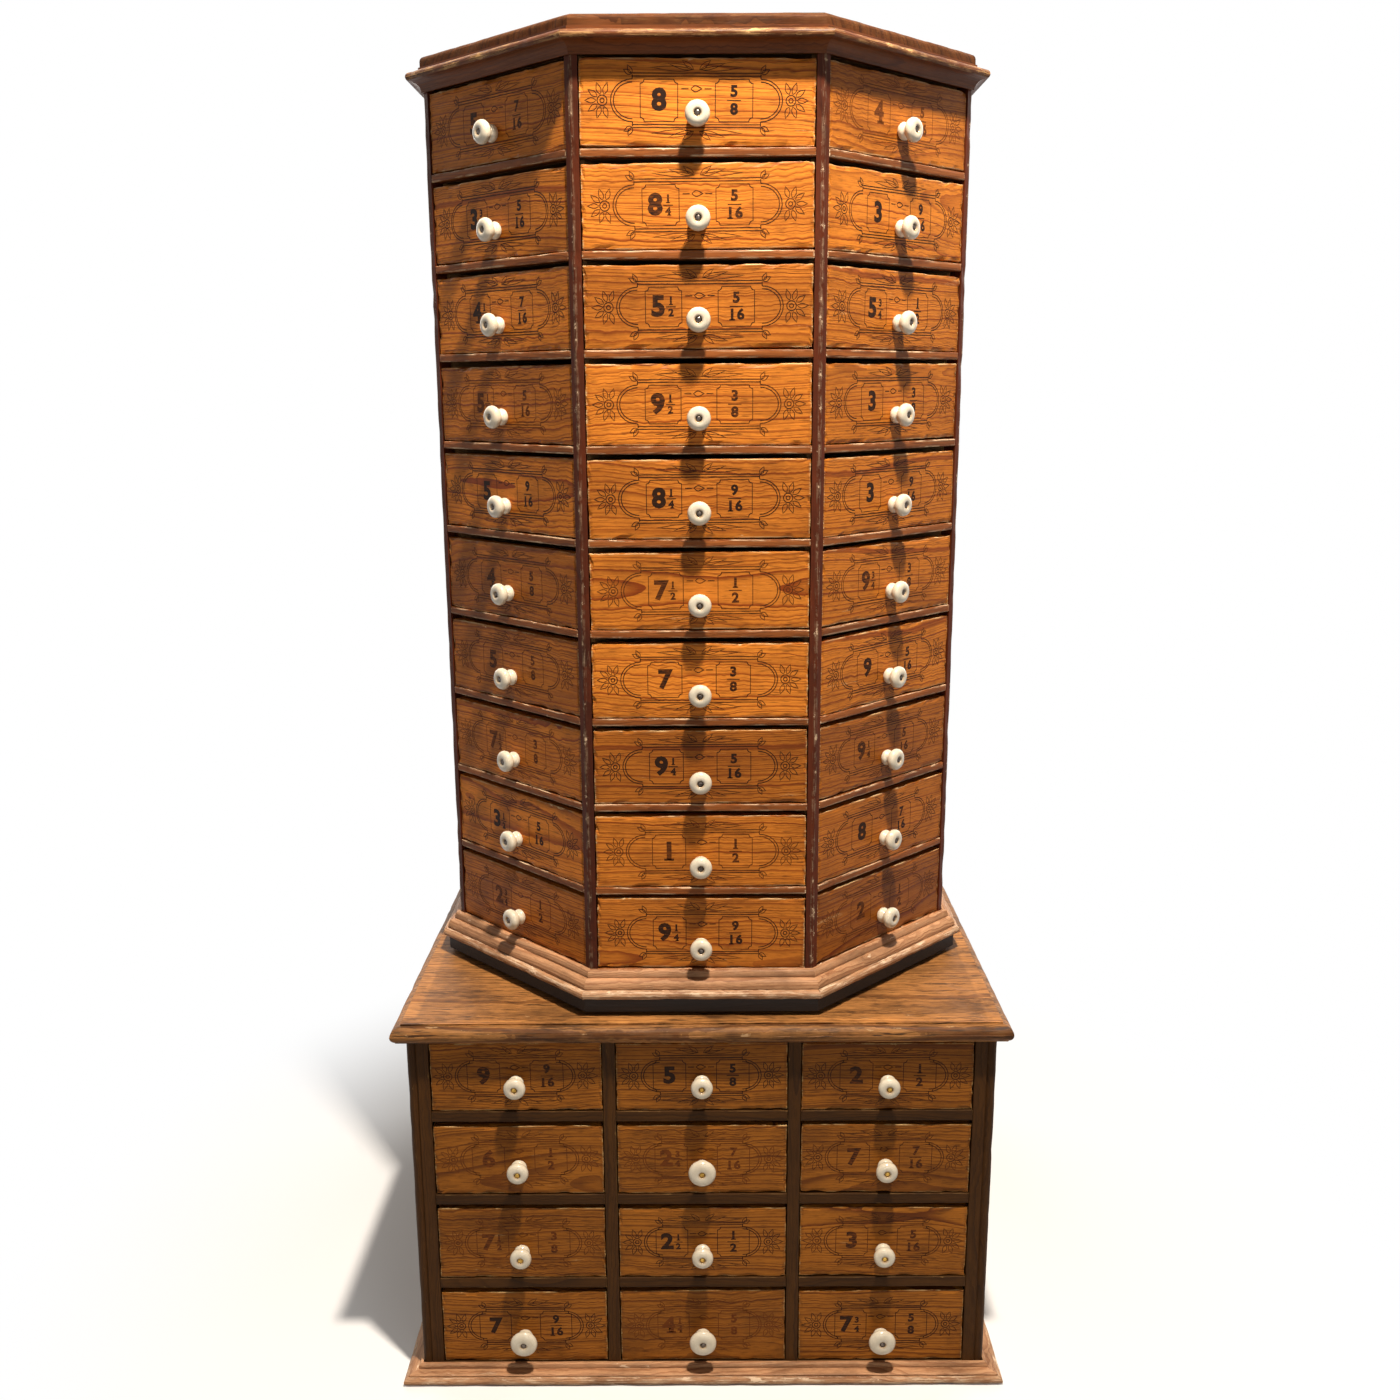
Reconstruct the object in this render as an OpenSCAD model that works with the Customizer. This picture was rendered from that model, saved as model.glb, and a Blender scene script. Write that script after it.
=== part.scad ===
// Revolving drawer cabinet: an eight-sided carousel of ten rows of wedge-shaped
// drawers, turning on a ball bearing above a square base with twelve drawers.
// Millimetres, +Z up, origin on the floor under the turning axis, front towards -Y.

/* [Carousel] */
// Width of the eight-sided body across its flats
across_flats = 508; // [470:1:540]
// Height from one shelf to the next
row_pitch = 81.4; // [78:0.2:100]
// Thickness of each shelf and of the rail along its edge
shelf_t = 7; // [5:0.5:9]
// Width of a corner post on each of its two faces
post_face = 6.5; // [6:0.5:9]
// Depth of the corner posts and rails behind the face
post_depth = 13; // [12:0.5:14]
// Thickness of the partitions between neighbouring drawers
partition_t = 8; // [6:0.5:10]
// Distance from the axis to the partitions' inner ends
partition_start = 70; // [60:1:74]
// Width across its flats of the eight-sided core between the shelves
core_w = 100; // [60:1:110]
// Height of the top rail above the uppermost shelf
top_rail_rise = 12; // [10:0.5:20]

/* [Carousel drawers] */
// Gap above each drawer front
head_gap = 3.6; // [2:0.1:5]
// Gap at each end of a drawer front
side_gap = 0.7; // [0.4:0.1:1.5]
// Gap under a drawer, between it and what it slides on
run_gap = 0.3; // [0.2:0.1:0.5]
// Set-back of a drawer front behind the rails
front_inset = 1; // [0.5:0.1:2]
// Thickness of a drawer front
front_t = 12; // [11:0.5:13]
// Thickness of a drawer's sides and back
side_t = 6; // [4:0.5:8]
// Thickness of a drawer's bottom
bottom_t = 4; // [3:0.5:6]
// Height of the front above the drawer's sides
side_drop = 12; // [8:0.5:20]
// Gap between a drawer's side and the partition
partition_gap = 1.5; // [1:0.1:3]
// Distance from the axis to the drawer's back
drawer_back = 76; // [75:1:100]

/* [Knobs] */
// Diameter of a porcelain knob
knob_d = 21; // [18:0.5:23]
// Diameter of the larger knobs on the base
large_knob_d = 26.5; // [24:0.5:30]
// Length of a knob in front of the drawer
knob_len = 18.5; // [16:0.5:22]
// Diameter of the swelling at the knob's foot
knob_foot_d = 15.5; // [13:0.5:17]
// Diameter of the knob's waist
knob_waist_d = 11.5; // [10:0.5:12.5]
// Length of the swelling at the knob's foot
knob_foot_len = 7.4; // [6:0.2:7.6]
// Distance of the knob's waist from the drawer
knob_waist_at = 8.9; // [8.2:0.1:9.6]
// Distance of the knob's widest part from the drawer
knob_head_at = 14; // [12:0.1:14.4]
// Diameter of the screw through the knob
screw_d = 5; // [4:0.1:5.5]
// Depth of the screw in the drawer front
screw_depth = 9; // [6:0.5:10]
// Height of the knob's axis on a carousel drawer
knob_rise = 23.4; // [20:0.2:35]
// Height of the knob's axis on a base drawer
base_knob_rise = 30; // [24:0.5:38]

/* [Cap and skirt] */
// Thickness of the top board
top_t = 10; // [8:0.5:16]
// Overhang of the top board over the posts
top_out = 2; // [1:0.5:4]
// Rounding of the top board's upper edge
top_round = 5; // [3:0.5:6]
// Projection of the cornice
cornice_out = 15; // [13:0.5:18]
// Gap between the uppermost drawers and the cornice
cornice_gap = 1.2; // [0.8:0.1:1.8]
// Height of the skirt moulding under the drawers
skirt_h = 25; // [23:0.5:32]
// Projection of the skirt moulding
skirt_out = 18; // [16:0.5:22]

/* [Turntable] */
// Thickness of the carousel's bottom board
bottom_board_t = 13.5; // [12:0.5:18]
// Overhang of the bottom board beyond the body's faces
bottom_board_out = 12; // [8:0.5:14]
// Gap between the bottom board and the base
swivel_gap = 4; // [3.6:0.1:5]
// Radius of the circle of bearing balls
ball_circle_r = 95; // [80:1:120]
// Radius of a bearing ball
ball_r = 4; // [3.6:0.1:4.4]
// Radius of the king pin
king_pin_r = 8; // [6:0.5:12]

/* [Base] */
// Width and depth of the base
base_w = 559; // [540:1:600]
// Width of the base's corner posts
base_post_w = 21; // [18:0.5:26]
// Width of the stiles between the columns of drawers
stile_w = 12; // [10:0.5:16]
// Depth of the posts, stiles and rails
frame_d = 22; // [18:1:26]
// Height of the rails between the rows of drawers
rail_h = 10.8; // [9:0.2:14]
// Height of the fronts in the base's top row
base_front_h = 71; // [64:0.5:80]
// Growth of the fronts from each row to the row below
base_front_growth = 3; // [0:0.5:5]
// Depth of the base drawers
base_drawer_d = 480; // [400:1:500]
// Thickness of the base's sides and back
panel_t = 14; // [10:0.5:16]
// Thickness of the boards under the base's upper rows
dust_board_t = 8; // [6:0.5:8.5]
// Thickness of the base's top
base_top_t = 17.5; // [15:0.5:22]
// Overhang of the base's top
base_top_out = 12; // [9:0.5:18]
// Height of the plinth moulding
plinth_h = 15.3; // [14.5:0.1:18]
// Projection of the plinth moulding
plinth_out = 17; // [15:0.5:20]

/* [Hidden] */
$fn = 48;
rows = 10;
base_rows = 4;
// Column and row of the one base drawer above the lowest row with a large knob
odd_knob_column = 2;
odd_knob_row = 2;
base_columns = 3;
sides = 8;
turn = 360 / sides;
half_turn = turn / 2;
arc_steps = 6;
// Glue line between neighbouring pieces of one node
glue = 0.1;
// Clearance of bearing balls in their grooves
ball_clear = 0.3;
// Running clearance of the king pin
pin_clear = 0.08;
// Clearance of the lowest drawers over the plinth
plinth_clear = 0.4;
// Clearance of the partitions' ends behind the drawer fronts
partition_clear = 0.5;
// Clearance around a knob's screw
screw_clear = 0.2;

apothem = across_flats / 2;
half_side = apothem * tan(half_turn);
// Half the clear width between two corner posts
opening_half = half_side - post_face;
// Distance from the axis to the flat inner edge of a corner post
post_inner = apothem / cos(half_turn) - post_face * sin(half_turn) - post_depth * cos(half_turn);
drawer_h = row_pitch - shelf_t - run_gap - head_gap;

// Thickness of the base's floor, which carries the lowest drawers over the plinth
floor_t = plinth_h + plinth_clear - run_gap;
base_row_gap = run_gap + head_gap;
function base_height(row) = base_front_h + base_front_growth * (row - 1);
function base_row_bottom(row) =
    row == base_rows ? floor_t : base_row_bottom(row + 1) + base_height(row + 1) + base_row_gap + rail_h;
base_body_h = base_row_bottom(1) + base_height(1) + base_row_gap;
base_half = base_w / 2;
bay_w = (base_w - 2 * base_post_w - (base_columns - 1) * stile_w) / base_columns;
function bay_centre(column) = (column - (base_columns + 1) / 2) * (bay_w + stile_w);

base_top_z = base_body_h + base_top_t;
board_z = base_top_z + swivel_gap;
skirt_z = board_z + bottom_board_t;
first_shelf_z = skirt_z + skirt_h;
function shelf_top(level) = first_shelf_z + level * row_pitch;
post_foot_z = first_shelf_z - shelf_t;
post_top_z = shelf_top(rows) + top_rail_rise;
cornice_z = shelf_top(rows - 1) + run_gap + drawer_h + cornice_gap;
cornice_h = post_top_z - cornice_z;
race_t = 3;
race_half_w = 14;
ball_z = base_top_z + race_t + ball_r / 2;
upper_race_z = ball_z + ball_r / 2;
cage_t = 1.6;
cage_half_w = 9;
balls = 24;

face_names = ["front", "frontright", "right", "backright", "back", "backleft", "left", "frontleft"];
// Faces whose drawers slide one by one, and faces whose ten drawers are one node
single_faces = [0, 1, 7];
grouped_faces = [2, 3, 4, 5, 6];
column_names = ["left", "middle", "right"];

function two_digits(number) = str(number < 10 ? "0" : "", number);
function drawer_name(face, row) = str("drawer_", face_names[face], "_", two_digits(row));
function group_name(face) = str("drawers_", face_names[face]);
function base_drawer_name(column, row) = str("base_drawer_", column_names[column - 1], "_", row);

front_wood = "#A8641F";
frame_wood = "#5A2A17";
base_wood = "#4A3420";
pale_wood = "#B07A3E";
porcelain = "#EDE6D8";
steel = "#6E6A66";

// Points along a circular arc
function arc(x, y, r, start, end) =
    [for (i = [0 : arc_steps])
        let (angle = start + (end - start) * i / arc_steps)
        [x + r * cos(angle), y + r * sin(angle)]];

// Points along a quarter of an ellipse that leaves its start upright and reaches its end level
function quarter(start, end) =
    [for (i = [0 : arc_steps])
        let (angle = 90 * i / arc_steps)
        [end[0] + (start[0] - end[0]) * cos(angle), start[1] + (end[1] - start[1]) * sin(angle)]];

function backwards(points) = [for (i = [len(points) - 1 : -1 : 0]) points[i]];

module octagon(flat_distance) {
    rotate(half_turn)
        circle(r = flat_distance / cos(half_turn), $fn = sides);
}

// Lays an outline of [outward, up] points along the front of a body whose face is at a distance
module along_front(distance, length) {
    rotate([90, 0, 90])
        linear_extrude(height = length, center = true)
            mirror([1, 0])
                translate([distance, 0])
                    children();
}

// Mitred strips around a body with the given number of sides
module mitred_strips(count, distance, reach) {
    far = distance + reach;
    half_angle = 180 / count;
    for (i = [0 : count - 1])
        rotate(360 / count * i)
            intersection() {
                along_front(distance, 2 * far)
                    children();
                translate([0, -glue / 2 / sin(half_angle), -far * 2])
                    linear_extrude(height = far * 4)
                        polygon([[0, 0], [-far * 2 * tan(half_angle), -far * 2],
                                 [far * 2 * tan(half_angle), -far * 2]]);
            }
}

// Outline shared by the skirt and the plinth: a round nose, an ovolo and a small round fillet
module nosed_outline(height, out, nose_r, fillet) {
    groove = 0.8;
    nose_x = out - nose_r;
    polygon(concat(
        [[0, 0]],
        arc(nose_x, nose_r, nose_r, -90, 90),
        [[nose_x - 2 * groove, 2 * nose_r], [nose_x - 2 * groove, 2 * nose_r + groove]],
        quarter([nose_x - groove / 2, 2 * nose_r + groove], [fillet + groove, height - fillet - groove]),
        [[fillet - groove, height - fillet - groove], [fillet - groove, height - fillet]],
        quarter([fillet, height - fillet], [fillet / 2, height]),
        [[0, height]]
    ));
}

module skirt_outline() {
    nose_r = 4.5;
    fillet = 6;
    nosed_outline(skirt_h, skirt_out, nose_r, fillet);
    // The rebated back of the skirt, which carries the posts and the lowest shelf
    translate([-post_depth, 0])
        square([post_depth + glue, post_foot_z - skirt_z]);
}

module cornice_outline() {
    nose_r = 4;
    ledge = 2.5;
    lip = 1.5;
    nose_x = cornice_out - nose_r;
    nose_z = cornice_h - ledge - 1.5 * nose_r;
    cove_angle = 50;
    polygon(concat(
        [[0, 0]],
        quarter([lip, 0], [nose_x + nose_r * cos(cove_angle), nose_z - nose_r * sin(cove_angle)]),
        arc(nose_x, nose_z, nose_r, glue - cove_angle, 80),
        [[top_out + lip, cornice_h - ledge], [top_out + lip, cornice_h], [0, cornice_h]]
    ));
}

// Edge of the top board as [outward, up] points from its underside to its upper face
function top_board_edge() = concat(
    [[top_out, 0]],
    arc(top_out - top_round, top_t - top_round, top_round, 0, 90)
);

// Edge of the base's top: a round underside, a thumbnail nose and a small step
function base_top_edge() =
    let (step = 1.5, nose_depth = 9, nose_h = 8)
    concat(
        [[base_top_out - nose_depth / 2, 0]],
        arc(base_top_out - nose_h, nose_h, nose_h, -60, 0),
        quarter([base_top_out, nose_h + glue], [base_top_out - nose_depth, base_top_t - step]),
        [[base_top_out - nose_depth, base_top_t]]
    );

// A board with the same moulded edge along each of its sides
module edged_board(count, distance, edge) {
    intersection_for(i = [0 : count / 2 - 1])
        rotate(360 / count * i)
            along_front(0, 4 * distance)
                polygon(concat(
                    [for (point = edge) [distance + point[0], point[1]]],
                    [for (point = backwards(edge)) [-distance - point[0], point[1]]]
                ));
}

// Outline of a corner post of the carousel, with its outer edge on the +X axis
module post_outline() {
    corner = [apothem / cos(half_turn), 0];
    along = [-sin(half_turn), cos(half_turn)];
    inward = [-cos(half_turn), -sin(half_turn)];
    edge = corner + post_face * along;
    inner = edge + post_depth * inward;
    polygon([corner, edge, inner, [inner[0], -inner[1]], [edge[0], -edge[1]]]);
}

// Outline of a front corner post of the base: a round bead between two quirks at the outer corner
module base_post_outline() {
    bead_r = 5;
    quirk = 1.5;
    polygon(concat(
        [[base_post_w, 0], [base_post_w, frame_d], [0, frame_d]],
        [[0, 2 * bead_r + quirk], [quirk, 2 * bead_r]],
        arc(bead_r, bead_r, bead_r, 180, 270),
        [[2 * bead_r, quirk], [2 * bead_r + quirk, 0]]
    ));
}

module porcelain_knob(diameter) {
    head_r = diameter / 2;
    foot_r = knob_foot_d / 2;
    waist_r = knob_waist_d / 2;
    bore_r = screw_d / 2 + screw_clear;
    foot_bulge = knob_foot_len / 2;
    neck = 1;
    dish = 0.4;
    rim = knob_len - knob_head_at;
    rotate([90, 0, 0])
        rotate_extrude()
            polygon(concat(
                [[bore_r, glue], [foot_r - foot_bulge / 2, glue]],
                arc(foot_r - foot_bulge, foot_bulge, foot_bulge, -60, 60),
                [[waist_r, knob_waist_at]],
                backwards(quarter([head_r, knob_head_at], [waist_r + neck, knob_waist_at + neck / 2])),
                quarter([head_r, knob_head_at + glue], [head_r - rim, knob_len]),
                [[bore_r, knob_len - dish]]
            ));
}

module knob_screw() {
    sink = 1;
    rotate([90, 0, 0])
        translate([0, 0, -screw_depth])
            cylinder(r = screw_d / 2, h = screw_depth + knob_len - sink);
}

module screw_hole() {
    clear_end = 0.5;
    rotate([90, 0, 0])
        translate([0, 0, -screw_depth - clear_end])
            cylinder(r = screw_d / 2 + screw_clear, h = screw_depth + front_t);
}

// A drawer front standing on z = 0 with its outer face at y = 0, its knob and the knob's screw
module drawer_front(width, height, rise, knob_diameter) {
    color(front_wood)
        difference() {
            translate([-width / 2, 0, 0])
                cube([width, front_t, height]);
            translate([0, 0, rise])
                screw_hole();
        }
    translate([0, 0, rise]) {
        color(porcelain)
            porcelain_knob(knob_diameter);
        color(steel)
            knob_screw();
    }
}

// Half width of a wedge-shaped drawer at a distance from the axis, less a margin square to its side
function wedge_half(distance, margin) = distance * tan(half_turn) - margin / cos(half_turn);

// One drawer of the carousel's front face, in the row counted from the top
module wedge_drawer(row) {
    outer = partition_t / 2 + partition_gap;
    face_y = apothem - front_inset;
    front_back = face_y - front_t - glue;
    back_front = drawer_back + side_t + glue;
    inner = outer + side_t;
    box_h = drawer_h - side_drop;
    translate([0, 0, shelf_top(rows - row) + run_gap]) {
        translate([0, -face_y, 0])
            drawer_front(2 * (opening_half - side_gap), drawer_h, knob_rise, knob_d);
        color(pale_wood) {
            for (flip = [0, 1])
                mirror([flip, 0, 0])
                    linear_extrude(height = box_h)
                        polygon([[wedge_half(front_back, outer), -front_back],
                                 [wedge_half(drawer_back, outer), -drawer_back],
                                 [wedge_half(drawer_back, inner), -drawer_back],
                                 [wedge_half(front_back, inner), -front_back]]);
            linear_extrude(height = box_h)
                wedge_panel(drawer_back, back_front - glue, inner + glue);
            translate([0, 0, bottom_t / 2])
                linear_extrude(height = bottom_t)
                    wedge_panel(back_front, front_back, inner + glue);
        }
    }
}

// Plan of a panel between a wedge drawer's sides
module wedge_panel(near, far, margin) {
    polygon([[wedge_half(near, margin), -near], [-wedge_half(near, margin), -near],
             [-wedge_half(far, margin), -far], [wedge_half(far, margin), -far]]);
}

// Whether a base drawer carries a large knob: the lowest row does, and one drawer above it
function has_large_knob(column, row) =
    row == base_rows || (column == odd_knob_column && row == odd_knob_row);

// One drawer of the base
module straight_drawer(column, row) {
    width = bay_w - 2 * side_gap;
    height = base_height(row);
    box_h = height - side_drop;
    box_half = width / 2 - side_gap;
    knob_diameter = has_large_knob(column, row) ? large_knob_d : knob_d;
    translate([bay_centre(column), front_inset - base_half, base_row_bottom(row) + run_gap]) {
        drawer_front(width, height, base_knob_rise, knob_diameter);
        color(pale_wood) {
            for (flip = [0, 1])
                mirror([flip, 0, 0])
                    translate([box_half - side_t, front_t + glue, 0])
                        cube([side_t, base_drawer_d - front_t - glue, box_h]);
            translate([-box_half + side_t + glue, base_drawer_d - side_t, 0])
                cube([2 * (box_half - side_t - glue), side_t, box_h]);
            translate([-box_half + side_t + glue, front_t + glue, bottom_t / 2])
                cube([2 * (box_half - side_t - glue), base_drawer_d - front_t - side_t - 2 * glue, bottom_t]);
        }
    }
}

module top_board() {
    color(frame_wood)
        translate([0, 0, post_top_z])
            edged_board(sides, apothem, top_board_edge());
}

module cornice_moulding() {
    color(frame_wood)
        translate([0, 0, cornice_z])
            mitred_strips(sides, apothem, cornice_out)
                cornice_outline();
}

module corner_posts() {
    color(frame_wood)
        for (i = [0 : sides - 1])
            rotate(turn * i + half_turn)
                translate([0, 0, post_foot_z])
                    linear_extrude(height = post_top_z - post_foot_z)
                        post_outline();
}

module front_rails() {
    color(frame_wood)
        for (face = [0 : sides - 1], level = [0 : rows])
            rotate(turn * face)
                translate([-opening_half, -apothem, shelf_top(level) - shelf_t])
                    cube([2 * opening_half, post_depth, level == rows ? shelf_t + top_rail_rise : shelf_t]);
}

// Plan of a partition along +X: its outer end is bevelled to meet the post behind the drawer fronts
module partition_plan() {
    intersection() {
        translate([partition_start, -partition_t / 2])
            square([post_inner - glue - partition_start, partition_t]);
        rotate(half_turn)
            octagon(apothem - front_inset - front_t - partition_clear);
    }
}

module shelf_boards() {
    partition_h = row_pitch - shelf_t - 2 * glue;
    color(pale_wood) {
        for (level = [0 : rows])
            translate([0, 0, shelf_top(level) - shelf_t])
                linear_extrude(height = shelf_t)
                    intersection() {
                        octagon(apothem - post_depth);
                        rotate(half_turn)
                            octagon(post_inner);
                    }
        for (face = [0 : sides - 1], level = [0 : rows - 1])
            rotate(turn * face + half_turn)
                translate([0, 0, shelf_top(level) + glue])
                    linear_extrude(height = partition_h)
                        partition_plan();
        for (level = [0 : rows - 1])
            translate([0, 0, shelf_top(level) + glue])
                linear_extrude(height = partition_h)
                    octagon(core_w / 2);
    }
}

module carousel_bottom() {
    recess_r = ball_circle_r + race_half_w + glue;
    recess_h = upper_race_z + race_t + glue - board_z;
    hub_side = 120;
    color(base_wood) {
        difference() {
            translate([0, 0, board_z])
                linear_extrude(height = bottom_board_t)
                    octagon(apothem + bottom_board_out);
            translate([0, 0, board_z - 1])
                cylinder(r = recess_r, h = recess_h + 1);
            translate([0, 0, board_z - 1])
                cylinder(r = king_pin_r + pin_clear, h = bottom_board_t + 2);
        }
        // Hub block between the bottom board and the lowest shelf
        translate([0, 0, skirt_z + glue])
            difference() {
                translate([-hub_side / 2, -hub_side / 2, 0])
                    cube([hub_side, hub_side, post_foot_z - skirt_z - glue]);
                translate([0, 0, -1])
                    cylinder(r = king_pin_r + pin_clear, h = skirt_h);
            }
    }
    color(steel)
        translate([0, 0, upper_race_z])
            race(-ball_r / 2);
}

// A flat bearing ring lying on z = 0, grooved for balls whose centres are at the given height
module race(groove_z) {
    rotate_extrude()
        difference() {
            translate([ball_circle_r - race_half_w, 0])
                square([2 * race_half_w, race_t]);
            translate([ball_circle_r, groove_z])
                circle(r = ball_r + ball_clear);
        }
}

module skirt_moulding() {
    color(frame_wood)
        translate([0, 0, skirt_z])
            mitred_strips(sides, apothem, skirt_out)
                skirt_outline();
}

module bearing_balls() {
    color(steel) {
        for (i = [0 : balls - 1])
            rotate(360 / balls * i)
                translate([ball_circle_r, 0, ball_z])
                    sphere(r = ball_r);
        difference() {
            translate([0, 0, ball_z - cage_t / 2])
                rotate_extrude()
                    translate([ball_circle_r - cage_half_w, 0])
                        square([2 * cage_half_w, cage_t]);
            for (i = [0 : balls - 1])
                rotate(360 / balls * i)
                    translate([ball_circle_r, 0, ball_z - cage_t])
                        cylinder(r = ball_r + ball_clear, h = 2 * cage_t);
        }
    }
}

module bearing_lower_race() {
    web_t = 2;
    pin_top = post_foot_z - 2;
    color(steel)
        translate([0, 0, base_top_z]) {
            race(race_t + ball_r / 2);
            // Web from the ring to the king pin
            cylinder(r = ball_circle_r - race_half_w + glue, h = web_t);
            cylinder(r = king_pin_r, h = pin_top - base_top_z);
        }
}

module base_top() {
    color(pale_wood)
        translate([0, 0, base_body_h])
            edged_board(4, base_half, base_top_edge());
}

module base_frame() {
    color(base_wood) {
        // Front corner posts
        for (flip = [0, 1])
            mirror([flip, 0, 0])
                translate([-base_half, -base_half, 0])
                    linear_extrude(height = base_body_h)
                        base_post_outline();
        // Bottom rail behind the plinth
        translate([-base_half + base_post_w + glue, -base_half, 0])
            cube([base_w - 2 * (base_post_w + glue), frame_d, floor_t - glue]);
        for (column = [1 : base_columns - 1])
            translate([bay_centre(column) + bay_w / 2, -base_half, floor_t])
                cube([stile_w, frame_d, base_body_h - floor_t]);
        for (column = [1 : base_columns], row = [1 : base_rows - 1])
            translate([bay_centre(column) - bay_w / 2 + glue, -base_half, base_row_bottom(row) - rail_h])
                cube([bay_w - 2 * glue, frame_d, rail_h]);
    }
}

module base_case() {
    front_y = frame_d - base_half;
    back_y = base_half - panel_t;
    inner_half = base_half - panel_t - glue;
    board_d = back_y - front_y - glue;
    color(pale_wood) {
        // Floor board
        translate([-inner_half, front_y, 0])
            cube([2 * inner_half, board_d, floor_t - glue]);
        // Side panels
        for (flip = [0, 1])
            mirror([flip, 0, 0])
                translate([-base_half, front_y, 0])
                    cube([panel_t, base_w - frame_d, base_body_h]);
        // Back panel
        translate([-inner_half, back_y, 0])
            cube([2 * inner_half, panel_t, base_body_h]);
        // Dividers behind the stiles
        for (column = [1 : base_columns - 1])
            translate([bay_centre(column) + bay_w / 2, front_y, floor_t])
                cube([stile_w, board_d, base_body_h - floor_t]);
        // Dust boards that the upper drawers slide on, each out to its neighbouring divider or panel
        for (column = [1 : base_columns], row = [1 : base_rows - 1]) {
            left = column == 1 ? -inner_half : bay_centre(column) - bay_w / 2 + glue;
            right = column == base_columns ? inner_half : bay_centre(column) + bay_w / 2 - glue;
            translate([left, front_y, base_row_bottom(row) - dust_board_t])
                cube([right - left, board_d, dust_board_t]);
        }
    }
}

module plinth_moulding() {
    nose_r = 4;
    fillet = 4;
    color(pale_wood)
        mitred_strips(4, base_half, plinth_out)
            nosed_outline(plinth_h, plinth_out, nose_r, fillet);
}

top_board();
cornice_moulding();
corner_posts();
front_rails();
shelf_boards();
carousel_bottom();
skirt_moulding();
bearing_balls();
bearing_lower_race();
base_top();
base_frame();
base_case();
plinth_moulding();
for (face = single_faces, row = [1 : rows])
    rotate(turn * face) wedge_drawer(row);
for (face = grouped_faces, row = [1 : rows])
    rotate(turn * face) wedge_drawer(row);
for (column = [1 : base_columns], row = [1 : base_rows])
    straight_drawer(column, row);
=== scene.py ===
"""Looks of a revolving drawer cabinet.

Worn pine drawers with printed ornament and porcelain knobs, in a carcass of dark
varnished wood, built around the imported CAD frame. Sizes are in millimetres and are
turned into the frame's metres by each piece's placing matrix.
"""

import logging
import math
import random
from collections.abc import Sequence
from dataclasses import dataclass, field
from enum import Enum, IntEnum

import bmesh
import bpy
from mathutils import Matrix, Vector, noise


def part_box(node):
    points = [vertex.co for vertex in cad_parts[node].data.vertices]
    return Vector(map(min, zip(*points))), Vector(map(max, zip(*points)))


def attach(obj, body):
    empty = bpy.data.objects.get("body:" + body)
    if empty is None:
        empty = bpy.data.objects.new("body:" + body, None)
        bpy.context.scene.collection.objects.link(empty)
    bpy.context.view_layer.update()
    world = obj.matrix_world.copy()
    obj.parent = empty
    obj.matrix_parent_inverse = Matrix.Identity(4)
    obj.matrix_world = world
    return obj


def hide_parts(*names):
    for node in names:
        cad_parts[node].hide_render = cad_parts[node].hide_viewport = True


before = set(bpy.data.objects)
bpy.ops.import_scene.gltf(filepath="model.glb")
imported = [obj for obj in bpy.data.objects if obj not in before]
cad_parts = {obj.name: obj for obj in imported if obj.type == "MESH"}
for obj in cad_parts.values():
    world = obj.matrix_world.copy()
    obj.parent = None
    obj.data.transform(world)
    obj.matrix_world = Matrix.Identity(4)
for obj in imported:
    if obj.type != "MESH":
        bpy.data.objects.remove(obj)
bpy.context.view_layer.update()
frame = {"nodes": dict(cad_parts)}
LOG = logging.getLogger("cabinet")

MM = 0.001
SIDES = 8
ROWS = 10
TURN = math.tau / SIDES
MITRE = math.tan(TURN / 2)


class Face(IntEnum):
    """Faces of the carousel, counted anticlockwise from the front as seen from above."""

    FRONT = 0
    FRONTRIGHT = 1
    RIGHT = 2
    BACKRIGHT = 3
    BACK = 4
    BACKLEFT = 5
    LEFT = 6
    FRONTLEFT = 7

    @property
    def single(self) -> bool:
        """Whether the drawers of this face slide one by one."""
        return self in (Face.FRONT, Face.FRONTRIGHT, Face.FRONTLEFT)


class GrainSource(Enum):
    """Where a wood finish finds its grain."""

    BOARD = "grain written on each board"
    FRAME = "object coordinates"


def linear(colour: str) -> tuple[float, float, float, float]:
    """Turn an sRGB hex colour into the linear colour that shaders use.

    Args:
        colour: Six hex digits after a hash sign.

    Returns:
        Red, green, blue and an alpha of one.
    """
    parts = [int(colour[i : i + 2], 16) / 255 for i in (1, 3, 5)]
    straight = [p / 12.92 if p <= 0.04045 else ((p + 0.055) / 1.055) ** 2.4 for p in parts]
    return (*straight, 1.0)


def corner_mm(node: str) -> tuple[Vector, Vector]:
    """Give a CAD node's lowest and highest corners in millimetres."""
    low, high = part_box(node)
    return low / MM, high / MM


def face_place(angle: float, distance: float, height: float, along: float = 0.0) -> Matrix:
    """Make the frame of an upright face: X along it, Y up and Z outwards.

    Args:
        angle: Turn of the face about the axis, zero at the front.
        distance: Distance of the face's origin from the axis.
        height: Height of the face's origin.
        along: Shift of the face's origin along X.

    Returns:
        Matrix from the face's millimetres to the row frame's metres.
    """
    upright = Matrix(((1, 0, 0, along), (0, 0, -1, -distance), (0, 1, 0, height), (0, 0, 0, 1)))
    return Matrix.Scale(MM, 4) @ Matrix.Rotation(angle, 4, "Z") @ upright


def post_place(across: Sequence[float], outward: Sequence[float], middle: Sequence[float]) -> Matrix:
    """Make the frame of a post: X up it, Y across it and Z outwards.

    Args:
        across: Level direction of Y.
        outward: Level direction of Z.
        middle: Middle of the post.

    Returns:
        Matrix from the post's millimetres to the row frame's metres.
    """
    return Matrix.Scale(MM, 4) @ Matrix((
        (0, across[0], outward[0], middle[0]),
        (0, across[1], outward[1], middle[1]),
        (1, 0, 0, middle[2]),
        (0, 0, 0, 1),
    ))


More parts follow.
